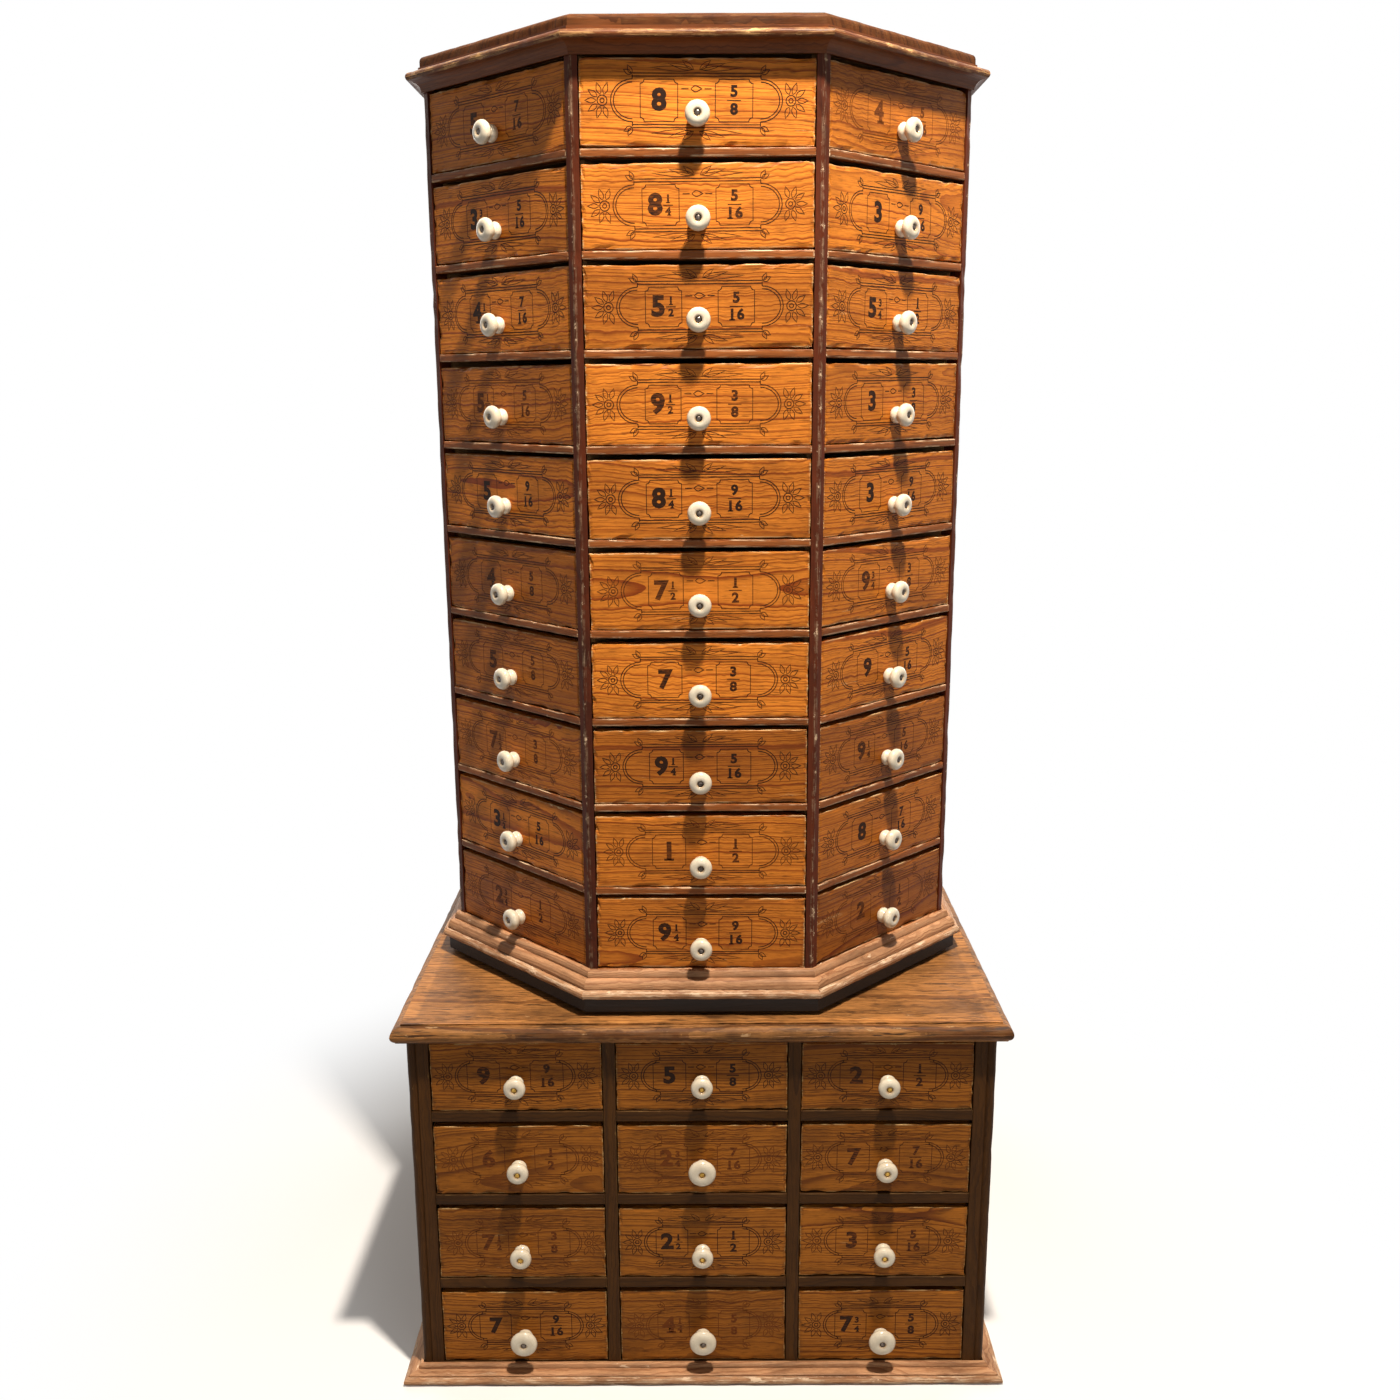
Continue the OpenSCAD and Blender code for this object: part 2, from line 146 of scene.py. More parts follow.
def flat_place(x: float, y: float, z: float) -> Matrix:
    """Make the frame of a board that lies flat at a point."""
    return Matrix.Scale(MM, 4) @ Matrix.Translation((x, y, z))


# What can be linked to a node's input: a socket, or a node for its first output
Link = bpy.types.Node | bpy.types.NodeSocket


class Shader:
    """The nodes of a material or of the surroundings, in the making."""

    def __init__(self, owner: bpy.types.Material | bpy.types.World) -> None:
        """Start without nodes in a new material or world.

        Args:
            owner: The material or world.
        """
        owner.use_nodes = True
        self.owner = owner
        self.tree = owner.node_tree
        self.tree.nodes.clear()

    def add(self, kind: str, inputs: dict | None = None, **settings: object) -> bpy.types.Node:
        """Add a node with its settings, values and links.

        Args:
            kind: Node type without its ShaderNode prefix.
            inputs: Value or link for each named or numbered input.
            settings: Values of the node's own properties.

        Returns:
            The new node.
        """
        made = self.tree.nodes.new("ShaderNode" + kind)
        for name, value in settings.items():
            setattr(made, name, value)
        for key, value in (inputs or {}).items():
            if isinstance(value, bpy.types.Node):
                value = value.outputs[0]
            if isinstance(value, bpy.types.NodeSocket):
                self.tree.links.new(value, made.inputs[key])
            else:
                made.inputs[key].default_value = value
        return made

    def seen(self) -> Link:
        """Tell what the eye sees, straight, mirrored or through glass, from what only gives light.

        Returns:
            One for a ray of sight and zero for any other.
        """
        path = self.add("LightPath").outputs
        seen = path["Is Camera Ray"]
        for other in ("Is Glossy Ray", "Is Transmission Ray"):
            seen = self.add("Math", {0: seen, 1: path[other]}, operation="MAXIMUM")
        return seen

    def finish(
        self, shader: bpy.types.Node, output: str = "OutputMaterial"
    ) -> bpy.types.Material | bpy.types.World:
        """Link a shader to the output and give the material or world back."""
        self.add(output, {"Surface": shader})
        return self.owner


# Inputs of a colour Mix node, whose names it shares with its other data types
FACTOR, FIRST, SECOND = 0, 6, 7
RESULT = 2


@dataclass(frozen=True)
class Streaks:
    """Noise drawn out along the grain: its run and width in millimetres, and how it breaks up."""

    run: float
    width: float
    detail: float
    roughness: float = 0.5

    def draw(self, s: Shader, grain: Link) -> bpy.types.Node:
        """Add the noise to a material.

        Args:
            s: Material in the making.
            grain: Place in the board in millimetres, X along it.

        Returns:
            The noise.
        """
        size = (self.run, self.width, self.width)
        place = s.add("VectorMath", {0: grain, 1: size}, operation="DIVIDE")
        look = {"Scale": 1.0, "Detail": self.detail, "Roughness": self.roughness}
        return s.add("TexNoise", {"Vector": place, **look})


@dataclass(frozen=True)
class Layer:
    """A colour over the wood: how far it reaches where a noise passes from one level to another."""

    pattern: str
    start: float
    full: float
    reach: float
    tint: str
    step: str = "SMOOTHSTEP"


Noises = dict[str, bpy.types.Node]
Share = tuple[Link, str]


@dataclass(frozen=True)
class Wood:
    """Sawn softwood with growth rings, under varnish that has aged and worn.

    The eye sees pale earlywood between sharp dark latewood lines, long arches where the
    saw met the rings flat, fine fibres, dirt towards the edges and bare wood on them.
    """

    name: str
    early: str
    late: str
    aged: str
    bare: str
    ring_mm: float = 3.7
    late_strength: float = 0.85
    wander_mm: float = 30.0
    ripple_mm: float = 7.0
    chip_level: float = 0.62
    chip_step: float = 0.06
    chip_fade: float = 0.05
    chip_run: float = 22.0
    chip_strength: float = 0.8
    rub: float = 0.45
    rub_mm: float = 1.0
    scuff: float = 0.5
    stain: float = 0.85
    stain_at: float = 0.36
    stain_step: float = 0.12
    dirt: float = 0.5
    dirt_mm: float = 5.0
    pore: float = 0.5
    pore_mm: tuple[float, float] = (14.0, 0.45)
    roughness: float = 0.42
    specular: float = 0.3
    relief_mm: float = 0.35
    source: GrainSource = GrainSource.BOARD

    def build(self) -> bpy.types.Material:
        """Make the material.

        Returns:
            The node material.
        """
        s = Shader(bpy.data.materials.new(self.name))
        on_board = self.source is GrainSource.BOARD
        if on_board:
            grain = s.add("Attribute", attribute_name="grain").outputs["Vector"]
        else:
            place = s.add("TexCoord").outputs["Object"]
            grain = s.add("VectorMath", {0: place, 1: (1 / MM,) * 3}, operation="MULTIPLY")
        noises = self._noises(s, grain)
        late = self._latewood(s, grain, noises)

        # Fibres, pores, and varnish that has darkened in clouds
        layers = (
            Layer("fibre", 0.3, 0.7, 0.42, self.late, "LINEAR"),
            Layer("pore", 0.58, 0.72, self.pore, self.aged),
            Layer("cloud", 0.38, 0.72, self.dirt, self.aged),
        )
        shares = [(late, self.late), *self._shares(s, noises, layers)]
        worn = None
        if on_board:
            # Each board's tone (on the carousel's fronts partly painted shade, darker towards the lower rows
            # and on the front-right face), pale scuffs and dark stains along it, and its worn edges
            tone = s.add("Attribute", attribute_name="tone").outputs["Fac"]
            marks = (
                Layer("scuff", 0.64, 0.76, self.scuff, self.bare),
                Layer("scuff", self.stain_at, self.stain_at - self.stain_step, self.stain, self.aged),
            )
            grime, worn = self._edge_wear(s, noises)
            shares += [(tone, self.aged), *self._shares(s, noises, marks)]
            shares += [(grime, self.aged), (worn, self.bare)]
        colour = linear(self.early)
        for share, tint in shares:
            over = s.add("Mix", {FACTOR: share, FIRST: colour, SECOND: linear(tint)}, data_type="RGBA")
            colour = over.outputs[RESULT]

        # Latewood stands proud of the worn earlywood, and fibres are raised a little
        fibre = noises["fibre"]
        late_rise, fibre_rise, worn_rise = 0.5, 0.8, -0.6
        relief = s.add("Math", {0: late, 1: late_rise}, operation="MULTIPLY")
        for height, rise in ((fibre, fibre_rise), (worn, worn_rise)):
            if height is not None:
                relief = s.add("Math", {0: height, 1: rise, 2: relief}, operation="MULTIPLY_ADD")
        bump = s.add("Bump", {"Strength": 0.55, "Distance": self.relief_mm * MM, "Height": relief})
        gloss = s.add(
            "MapRange",
            {
                "Value": fibre,
                "From Min": 0.25,
                "From Max": 0.75,
                "To Min": self.roughness - 0.08,
                "To Max": self.roughness + 0.14,
            },
        )
        surface = s.add(
            "BsdfPrincipled",
            {
                "Base Color": colour,
                "Roughness": gloss,
                "Normal": bump,
                "Specular IOR Level": self.specular,
            },
        )
        return s.finish(surface)

    def _noises(self, s: Shader, grain: Link) -> Noises:
        """Add the noises that the finish is made of.

        Args:
            s: Material in the making.
            grain: Place in the board in millimetres, X along it.

        Returns:
            The noises.
        """
        drawn = {
            "drift": Streaks(238.0952, 125.0, 1.5),
            "wave": Streaks(14.0, 33.33333, 2.0),
            # Fibres are a fraction of a millimetre wide, drawn about 1 mm wide so that they show
            "fibre": Streaks(33.33333, 1.111111, 4.0, 0.65),
            "pore": Streaks(*self.pore_mm, 1.0),
            "cloud": Streaks(90.90909, 41.66667, 8.0, 0.72),
        }
        if self.source is GrainSource.BOARD:
            drawn["scuff"] = Streaks(71.42857, 10.0, 6.0, 0.75)
            drawn["patch"] = Streaks(self.chip_run, 6.7, 6.0, 0.68)
        return {name: streaks.draw(s, grain) for name, streaks in drawn.items()}

    def _latewood(self, s: Shader, grain: Link, noises: Noises) -> bpy.types.Node:
        """Grow the rings, counted from a pith line that wanders slowly along the board.

        Args:
            s: Material in the making.
            grain: Place in the board in millimetres, X along it.
            noises: Noises of the finish.

        Returns:
            Share of latewood.
        """
        drift = noises["drift"]
        wander = (0.0, self.wander_mm, self.wander_mm)
        middle = (0.5, 0.5, 0.5)
        centred = s.add("VectorMath", {0: drift.outputs["Color"], 1: middle}, operation="SUBTRACT")
        swing = s.add("VectorMath", {0: centred, 1: wander}, operation="MULTIPLY")
        bent = s.add("VectorMath", {0: grain, 1: swing}, operation="ADD")
        # Short waves in the fibre come and go along the board
        swell = s.add(
            "MapRange", {"Value": drift, "From Min": 0.4, "From Max": 0.62, "To Max": self.ripple_mm}
        )
        wave = s.add("Math", {0: noises["wave"], 1: swell}, operation="MULTIPLY")
        ripple = s.add("CombineXYZ", {"Y": wave})
        bent = s.add("VectorMath", {0: bent, 1: ripple}, operation="ADD")
        across = s.add("VectorMath", {0: bent, 1: (0.0, 1.0, 1.0)}, operation="MULTIPLY")
        radius = s.add("VectorMath", {0: across}, operation="LENGTH").outputs["Value"]
        rings = s.add("Math", {0: radius, 1: self.ring_mm}, operation="DIVIDE")
        # Years differ in width and in how dark their latewood grew
        width = s.add("TexNoise", {"W": rings, "Scale": 0.33, "Detail": 2.0}, noise_dimensions="1D")
        count = s.add("Math", {0: width, 1: 3.0, 2: rings}, operation="MULTIPLY_ADD")
        phase = s.add("Math", {0: count}, operation="FRACT")
        year = s.add("TexNoise", {"W": rings, "Scale": 0.7, "Detail": 1.0}, noise_dimensions="1D")
        dark = s.add("MapRange", {"Value": year, "From Min": 0.32, "From Max": 0.66, "To Min": 0.3})
        late = s.add(
            "MapRange",
            {"Value": phase, "From Min": 0.45, "From Max": 0.95, "To Max": self.late_strength},
            interpolation_type="SMOOTHSTEP",
        )
        return s.add("Math", {0: late, 1: dark}, operation="MULTIPLY")

    @staticmethod
    def _shares(s: Shader, noises: Noises, layers: Sequence[Layer]) -> list[Share]:
        """Add how much of the wood each layer covers.

        Args:
            s: Material in the making.
            noises: Noises of the finish.
            layers: The layers from the lowest up.

        Returns:
            Share and colour of each layer.
        """
        made = []
        for layer in layers:
            bounds = {"From Min": layer.start, "From Max": layer.full, "To Max": layer.reach}
            level = {"Value": noises[layer.pattern], **bounds}
            made.append((s.add("MapRange", level, interpolation_type=layer.step), layer.tint))
        return made

    def _edge_wear(self, s: Shader, noises: Noises) -> tuple[bpy.types.Node, bpy.types.Node]:
        """Add dirt in a band along the edges, and a pale rubbed line and chips of bare wood on them.

        Args:
            s: Material in the making.
            noises: Noises of the finish.

        Returns:
            Shares of dirt and of bare wood.
        """
        edge = s.add("Attribute", attribute_name="edge").outputs["Fac"]
        fibre, patch = noises["fibre"], noises["patch"]
        reach = s.add("Math", {0: edge, 1: -self.chip_fade, 2: patch}, operation="MULTIPLY_ADD")
        chip_full = self.chip_level + self.chip_step
        band, line, broken, sparse, chip = (
            s.add(
                "MapRange",
                {"Value": level, "From Min": start, "From Max": end, "To Min": first, "To Max": last},
                interpolation_type="SMOOTHSTEP",
            )
            for level, start, end, first, last in (
                (edge, 0.0, self.dirt_mm, self.dirt, 0.0),
                (edge, 0.1, self.rub_mm, self.rub, 0.0),
                (fibre, 0.44, 0.58, 0.0, 1.0),
                (patch, 0.4, 0.56, 0.0, 1.0),
                (reach, self.chip_level, chip_full, 0.0, self.chip_strength),
            )
        )
        grime = s.add("Math", {0: band, 1: patch}, operation="MULTIPLY")
        for gaps in (broken, sparse):
            line = s.add("Math", {0: line, 1: gaps}, operation="MULTIPLY")
        worn = s.add("Math", {0: chip, 1: line}, operation="MAXIMUM")
        return grime, worn


@dataclass(frozen=True)
class Porcelain:
    """Glazed porcelain: ivory, glossy, crazed in fine brown lines and grimy in its hollows."""

    name: str = "glazed porcelain"
    glaze: str = "#D8CCB4"
    grime: str = "#A8875C"
    craze_mm: float = 5.0
    cloud_mm: float = 9.0

    def build(self) -> bpy.types.Material:
        """Make the material.

        Returns:
            The node material.
        """
        s = Shader(bpy.data.materials.new(self.name))
        place = s.add("TexCoord").outputs["Object"]
        edge = s.add("Attribute", attribute_name="edge").outputs["Fac"]
        cells = s.add(
            "TexVoronoi", {"Vector": place, "Scale": 1 / (self.craze_mm * MM)}, feature="DISTANCE_TO_EDGE"
        )
        craze = s.add(
            "MapRange",
            {"Value": cells.outputs["Distance"], "From Max": 0.05, "To Min": 0.22, "To Max": 0.0},
        )
        cloud = s.add("TexNoise", {"Vector": place, "Scale": 1 / (self.cloud_mm * MM), "Detail": 4.0})
        hollow = s.add(
            "MapRange", {"Value": edge, "From Max": 2.5, "To Min": 0.75, "To Max": 0.0},
            interpolation_type="SMOOTHSTEP",
        )
        stain = s.add("MapRange", {"Value": cloud, "From Min": 0.45, "From Max": 0.8, "To Max": 0.3})
        dirty = s.add("Math", {0: hollow, 1: stain}, operation="ADD")
        dirty = s.add("Math", {0: dirty, 1: craze}, operation="MAXIMUM")
        colour = s.add(
            "Mix",
            {FACTOR: dirty, FIRST: linear(self.glaze), SECOND: linear(self.grime)},
            data_type="RGBA",
        )
        gloss = s.add("MapRange", {"Value": cloud, "To Min": 0.08, "To Max": 0.26})
        surface = s.add(
            "BsdfPrincipled",
            {
                "Base Color": colour.outputs[RESULT],
                "Roughness": gloss,
                "IOR": 1.5,
                "Coat Weight": 0.5,
                "Coat Roughness": 0.08,
            },
        )
        return s.finish(surface)


@dataclass(frozen=True)
class Metal:
    """Turned metal with tarnish in clouds."""

    name: str
    bright: str
    tarnish: str
    roughness: float = 0.38
    cloud_mm: float = 3.0
    relief_mm: float = 0.1

    def build(self) -> bpy.types.Material:
        """Make the material.

        Returns:
            The node material.
        """
        s = Shader(bpy.data.materials.new(self.name))
        place = s.add("TexCoord").outputs["Object"]
        cloud = s.add(
            "TexNoise",
            {"Vector": place, "Scale": 1 / (self.cloud_mm * MM), "Detail": 5.0, "Roughness": 0.6},
        )
        spots = s.add(
            "MapRange", {"Value": cloud, "From Min": 0.35, "From Max": 0.7},
            interpolation_type="SMOOTHSTEP",
        )
        colour = s.add(
            "Mix",
            {FACTOR: spots, FIRST: linear(self.bright), SECOND: linear(self.tarnish)},
            data_type="RGBA",
        )
        gloss = s.add(
            "MapRange",
            {"Value": spots, "To Min": self.roughness - 0.08, "To Max": self.roughness + 0.2},
        )
        bump = s.add("Bump", {"Strength": 0.25, "Distance": self.relief_mm * MM, "Height": cloud})
        surface = s.add(
            "BsdfPrincipled",
            {
                "Base Color": colour.outputs[RESULT],
                "Metallic": 1.0,
                "Roughness": gloss,
                "Normal": bump,
            },
        )
        return s.finish(surface)


@dataclass(frozen=True)
class Ink:
    """Printer's ink on varnished wood: brown-black, thin, rubbed away in streaks along the grain."""

    name: str = "printers ink on pine"
    dense: str = "#241206"
    rubbed: str = "#6A3711"
    rub: Streaks = Streaks(8.3333333, 1.4285714, 4.0, 0.7)

    def build(self) -> bpy.types.Material:
        """Make the material.

        Returns:
            The node material.
        """
        s = Shader(bpy.data.materials.new(self.name))
        grain = s.add("Attribute", attribute_name="grain").outputs["Vector"]
        fade = s.add("Attribute", attribute_name="tone").outputs["Fac"]
        faded = s.add("Math", {0: self.rub.draw(s, grain), 1: fade}, operation="ADD")
        thin = s.add(
            "MapRange", {"Value": faded, "From Min": 0.42, "From Max": 0.66},
            interpolation_type="SMOOTHSTEP",
        )
        colour = s.add(
            "Mix",
            {FACTOR: thin, FIRST: linear(self.dense), SECOND: linear(self.rubbed)},
            data_type="RGBA",
        )
        surface = s.add(
            "BsdfPrincipled",
            {"Base Color": colour.outputs[RESULT], "Roughness": 0.6, "Specular IOR Level": 0.12},
        )
        return s.finish(surface)


@dataclass(frozen=True)
class Finishes:
    """Every finish of the cabinet, each made once."""

    front: bpy.types.Material
    dark_front: bpy.types.Material
    frame: bpy.types.Material
    rail: bpy.types.Material
    base_frame: bpy.types.Material
    panel: bpy.types.Material
    top: bpy.types.Material
    cap: bpy.types.Material
    moulding: bpy.types.Material
    honey: bpy.types.Material
    bare: bpy.types.Material
    inside: bpy.types.Material
    underside: bpy.types.Material
    porcelain: bpy.types.Material
    steel: bpy.types.Material
    brass: bpy.types.Material
    bearing: bpy.types.Material
    ink: bpy.types.Material

    @classmethod
    def make(cls) -> "Finishes":
        """Make every material of the cabinet.

        Returns:
            The finishes.
        """
        made = {
            "front": Wood(
                "shellacked pine", "#F29433", "#8A390B", "#481E08", "#F0CE96", chip_level=0.57, rub=0.75,
                rub_mm=2.2, ring_mm=2.9, late_strength=1.0, dirt=0.45, pore=0.6, pore_mm=(13.0, 0.9),
                specular=0.14,
            ),
            "dark_front": Wood(
                "smoked shellac pine", "#C67A28", "#6A340D", "#361A07", "#D8B47A", chip_level=0.58, rub=0.65,
                rub_mm=2.0, ring_mm=2.9, late_strength=1.0, pore=0.6, pore_mm=(13.0, 0.9), roughness=0.46,
                specular=0.12,
            ),
            "frame": Wood(
                "red brown varnished pine", "#6C2F14", "#431B0A", "#261008", "#D8BA98", chip_level=0.59,
                chip_run=7.0, rub=0.22, ring_mm=3.2, roughness=0.45, specular=0.12,
            ),
            "rail": Wood(
                "rubbed rail pine", "#B0662F", "#743A18", "#3C1D0C", "#E6C8A2", chip_level=0.57,
                rub=0.85, rub_mm=2.2, ring_mm=3.2, specular=0.14,
            ),
            "base_frame": Wood(
                "umber varnished pine", "#5A3816", "#3A220C", "#201207", "#94703F", chip_level=0.6,
                chip_strength=0.6, rub=0.35, ring_mm=3.2, roughness=0.5, specular=0.1,
            ),
            "panel": Wood(
                "umber panel pine", "#80501F", "#4E2C10", "#29160A", "#AC8654", chip_level=0.58,
                chip_strength=0.6, rub=0.5, rub_mm=1.8, dirt=0.6, pore=0.8, pore_mm=(20.0, 1.4),
                ring_mm=4.4, roughness=0.5, specular=0.12,
            ),
            # The top board's colour is darkened as painted shade, against the bright light that falls on its
            # level top
            "top": Wood(
                "dusty stained pine", "#6A3C1C", "#3E200E", "#23120A", "#A87C4C", chip_level=0.6,
                chip_strength=0.35, rub=0.16, rub_mm=2.4, stain=0.6, stain_at=0.4,
                pore_mm=(30.0, 1.2), ring_mm=5.2, late_strength=1.0, roughness=0.56, specular=0.06,
            ),
            "cap": Wood(
                "walnut stained pine", "#7C441E", "#502810", "#2C150A", "#CC9E66", chip_level=0.54,
                rub=0.6, rub_mm=2.4, ring_mm=3.0, specular=0.15,
            ),
            "moulding": Wood(
                "rubbed moulding pine", "#E0AA7C", "#9A6440", "#482A18", "#F0D4B2", chip_level=0.55,
                chip_strength=0.7, rub=0.6, rub_mm=2.0, stain=0.95, dirt=0.6, ring_mm=3.0,
                roughness=0.48, specular=0.15,
            ),
            "honey": Wood(
                "honey varnished pine", "#C88A4C", "#74441E", "#392210", "#CCA678", chip_level=0.58,
                chip_strength=0.55, rub=0.5, scuff=0.45, stain=0.9, stain_at=0.47, dirt=0.75, pore=1.0,
                pore_mm=(22.0, 1.7), ring_mm=4.2, late_strength=0.95, roughness=0.5, specular=0.15,
            ),
            "bare": Wood(
                "bare planed pine", "#C39A63", "#98683A", "#7B5632", "#CDAA78",
                dirt=0.4, roughness=0.62, chip_strength=0.3, rub=0.2,
            ),
            "inside": Wood(
                "unvarnished shelf pine", "#A87E4E", "#845C34", "#5E432A", "#B48E5E",
                roughness=0.65, source=GrainSource.FRAME,
            ),
            # The carousel's bottom board is near black: painted shade for the shadow under the skirt
            "underside": Wood(
                "near black pine as painted shade", "#24180E", "#1A1008", "#100A05", "#3C2C1A",
                roughness=0.6, source=GrainSource.FRAME,
            ),
            "porcelain": Porcelain(),
            "steel": Metal("blackened steel", "#6A6058", "#2E2620"),
            "brass": Metal("tarnished brass", "#C79E4E", "#7A5A28"),
            "bearing": Metal("oiled steel", "#8B8882", "#4A443C", roughness=0.3, cloud_mm=6.0),
            "ink": Ink(),
        }
        return cls(**{name: finish.build() for name, finish in made.items()})


@dataclass(frozen=True)
class Cut:
    """How a board is cut and aged."""

    ease: float = 0.7
    border: float = 4.0
    steps: int = 0
    end_steps: int = 0
    ragged: float = 0.0
    tone: float = 0.0
    slot: int = 0


@dataclass(frozen=True)
class Point:
    """A point of a moulding's outline: outwards, upwards and its distance from what hands rub."""

    out: float
    up: float
    rub: float = 6.0


def arc(
    centre: tuple[float, float], radius: float, start: float, end: float, rub: float, steps: int = 6
) -> list[Point]:
    """Give points along an arc of an outline.

    Args:
        centre: Outward and upward place of the arc's centre.
        radius: Radius of the arc.
        start: Angle of the first point in degrees.
        end: Angle of the last point in degrees.
        rub: Distance from what hands rub.
        steps: Number of segments.

    Returns:
        The points in order.
    """
    angles = [math.radians(start + (end - start) * i / steps) for i in range(steps + 1)]
    return [Point(centre[0] + radius * math.cos(a), centre[1] + radius * math.sin(a), rub) for a in angles]


def quarter(
    start: tuple[float, float], end: tuple[float, float], rub: float, steps: int = 6
) -> list[Point]:
    """Give points along a quarter ellipse that starts upright and ends level.

    Args:
        start: First point, outward and up.
        end: Last point, outward and up.
        rub: Distance from what hands rub.
        steps: Number of segments.

    Returns:
        The points in order.
    """
    angles = [math.pi / 2 * i / steps for i in range(steps + 1)]
    return [
        Point(end[0] + (start[0] - end[0]) * math.cos(a), start[1] + (end[1] - start[1]) * math.sin(a), rub)
        for a in angles
    ]


class Timber:
    """Boards and mouldings gathered in one mesh.

    Each vertex carries its place in its own board as grain, its distance from the nearest
    worn edge as edge, and the board's darkness as tone.
    """

    def __init__(self, seed: int) -> None:
        """Start an empty stack of timber with its own repeatable chance.

        Args:
            seed: Seed of the chance.
        """
        self.mesh = bmesh.new()
        self.chance = random.Random(seed)
        for layer in ("edge", "tone"):
            self.mesh.verts.layers.float.new(layer)
        self.mesh.verts.layers.float_vector.new("grain")

    def board(self, size: Vector, place: Matrix, cut: Cut = Cut()) -> None:
        """Add a board with its length along X, eased and worn on every edge.

        Args:
            size: Length, height and thickness.
            place: Matrix from the board's middle to the row frame.
            cut: How the board is cut and aged.
        """
        shape = bmesh.new()
        edge = shape.verts.layers.float.new("edge")
        made = bmesh.ops.create_cube(shape, size=1.0)
        bmesh.ops.scale(shape, vec=size, verts=made["verts"])
        arrises = list(shape.edges)
        corners = set(shape.verts)
        widest = 0.35 * min(size)
        border = min(cut.border, widest)
        bmesh.ops.inset_individual(shape, faces=list(shape.faces), thickness=border, use_even_offset=True)
        for vert in shape.verts:
            vert[edge] = 0.0 if vert in corners else border
        bmesh.ops.bevel(
            shape, geom=arrises, offset=cut.ease, offset_type="OFFSET", segments=2, profile=0.5,
            affect="EDGES", material=-1,
        )
        self._age(shape, cut)
        self._take(shape, place, cut)

    def length(
        self,
        outline: Sequence[Point],
        half: float,
        skew: tuple[float, float],
        place: Matrix,
        cut: Cut = Cut(),
    ) -> None:
        """Add a length of moulding along X, its ends square or mitred.

        Args:
            outline: Section as points outwards along Z and up along Y.
            half: Half the length where the outline's out is zero.
            skew: Slope of the left and right ends against out.
            place: Matrix from the moulding's middle to the row frame.
            cut: How the wood is cut and aged.
        """
        shape = bmesh.new()
        edge = shape.verts.layers.float.new("edge")
        left = [shape.verts.new((skew[0] * p.out - half, p.up, p.out)) for p in outline]
        for vert, point in zip(left, outline):
            vert[edge] = point.rub
        end = shape.faces.new(left)
        bmesh.ops.extrude_face_region(shape, geom=[end], use_keep_orig=True)
        for vert in shape.verts:
            if vert not in left:
                vert.co.x = skew[1] * vert.co.z + half
        bmesh.ops.recalc_face_normals(shape, faces=list(shape.faces))
        self._age(shape, cut)
        self._take(shape, place, cut)

    def slab(self, sides: int, outline: Sequence[Point], place: Matrix, cut: Cut = Cut()) -> None:
        """Add a flat board with a moulded edge on each side, grain along X.

        Args:
            sides: Number of the board's sides.
            outline: Edge from the underside to the top, out being the distance from the middle.
            place: Matrix from the middle of the underside to the row frame.
            cut: How the wood is cut and aged.
        """
        shape = bmesh.new()
        edge = shape.verts.layers.float.new("edge")
        corner = 1 / math.cos(math.pi / sides)
        first = outline[0]
        radius = first.out * corner
        ring = bmesh.ops.create_circle(shape, cap_ends=True, segments=sides, radius=radius)["verts"]
        bmesh.ops.rotate(shape, verts=ring, matrix=Matrix.Rotation(math.pi / sides, 3, "Z"))
        bmesh.ops.translate(shape, verts=ring, vec=(0, 0, first.up))
        for vert in ring:
            vert[edge] = first.rub
        top = shape.faces[:][0]
        for before, after in zip(outline, outline[1:]):
            made = bmesh.ops.extrude_face_region(shape, geom=[top], use_keep_orig=before is first)["geom"]
            ring = [item for item in made if isinstance(item, bmesh.types.BMVert)]
            top = next(item for item in made if isinstance(item, bmesh.types.BMFace))
            grow = after.out / before.out
            for vert in ring:
                vert.co = Vector((vert.co.x * grow, vert.co.y * grow, after.up))
                vert[edge] = after.rub
        # The inset makes new corners at the rim, which keeps its varnish, and leaves the old ones
        # around the middle, which is as worn as the last of the edge
        rim = 14.0
        middle = set(shape.verts)
        bmesh.ops.inset_region(shape, faces=[top], thickness=rim, use_even_offset=True)
        for vert in shape.verts:
            if vert not in middle:
                vert[edge] = rim
        bmesh.ops.recalc_face_normals(shape, faces=list(shape.faces))
        self._age(shape, cut)
        self._take(shape, place, cut)

    def _age(self, shape: bmesh.types.BMesh, cut: Cut) -> None:
        """Divide a shape's long edges and wear its arrises out of true.

        Args:
            shape: Board in its own frame.
            cut: How the wood is cut and aged.
        """
        if not cut.steps:
            return
        long_share, rub_reach, end_reach = 0.6, 1.5, 2.0
        coarse, coarse_end, keep = 0.06, 0.22, 0.15
        longest = max(e.calc_length() for e in shape.edges)
        runs = [e for e in shape.edges if e.calc_length() > long_share * longest]
        bmesh.ops.subdivide_edges(shape, edges=runs, cuts=cut.steps, use_grid_fill=True)
        reach = max(abs(v.co.x) for v in shape.verts)
        if cut.end_steps:
            tall = max(abs(v.co.y) for v in shape.verts)
            rises = [e for e in shape.edges if abs(e.verts[0].co.y - e.verts[1].co.y) > tall]
            bmesh.ops.subdivide_edges(shape, edges=rises, cuts=cut.end_steps, use_grid_fill=True)
        if not cut.ragged:
            return
        shape.normal_update()
        edge = shape.verts.layers.float["edge"]
        start = Vector((self.chance.uniform(0, 900), self.chance.uniform(0, 900), 0.0))
        for vert in shape.verts:
            if vert[edge] < rub_reach:
                at_end = cut.end_steps and abs(vert.co.x) > reach - end_reach
                place = vert.co * (coarse_end if at_end else coarse) + start
                bite = cut.ragged * max(0.0, noise.fractal(place, 1.0, 2.0, 4) + keep)
                vert.co -= vert.normal * bite

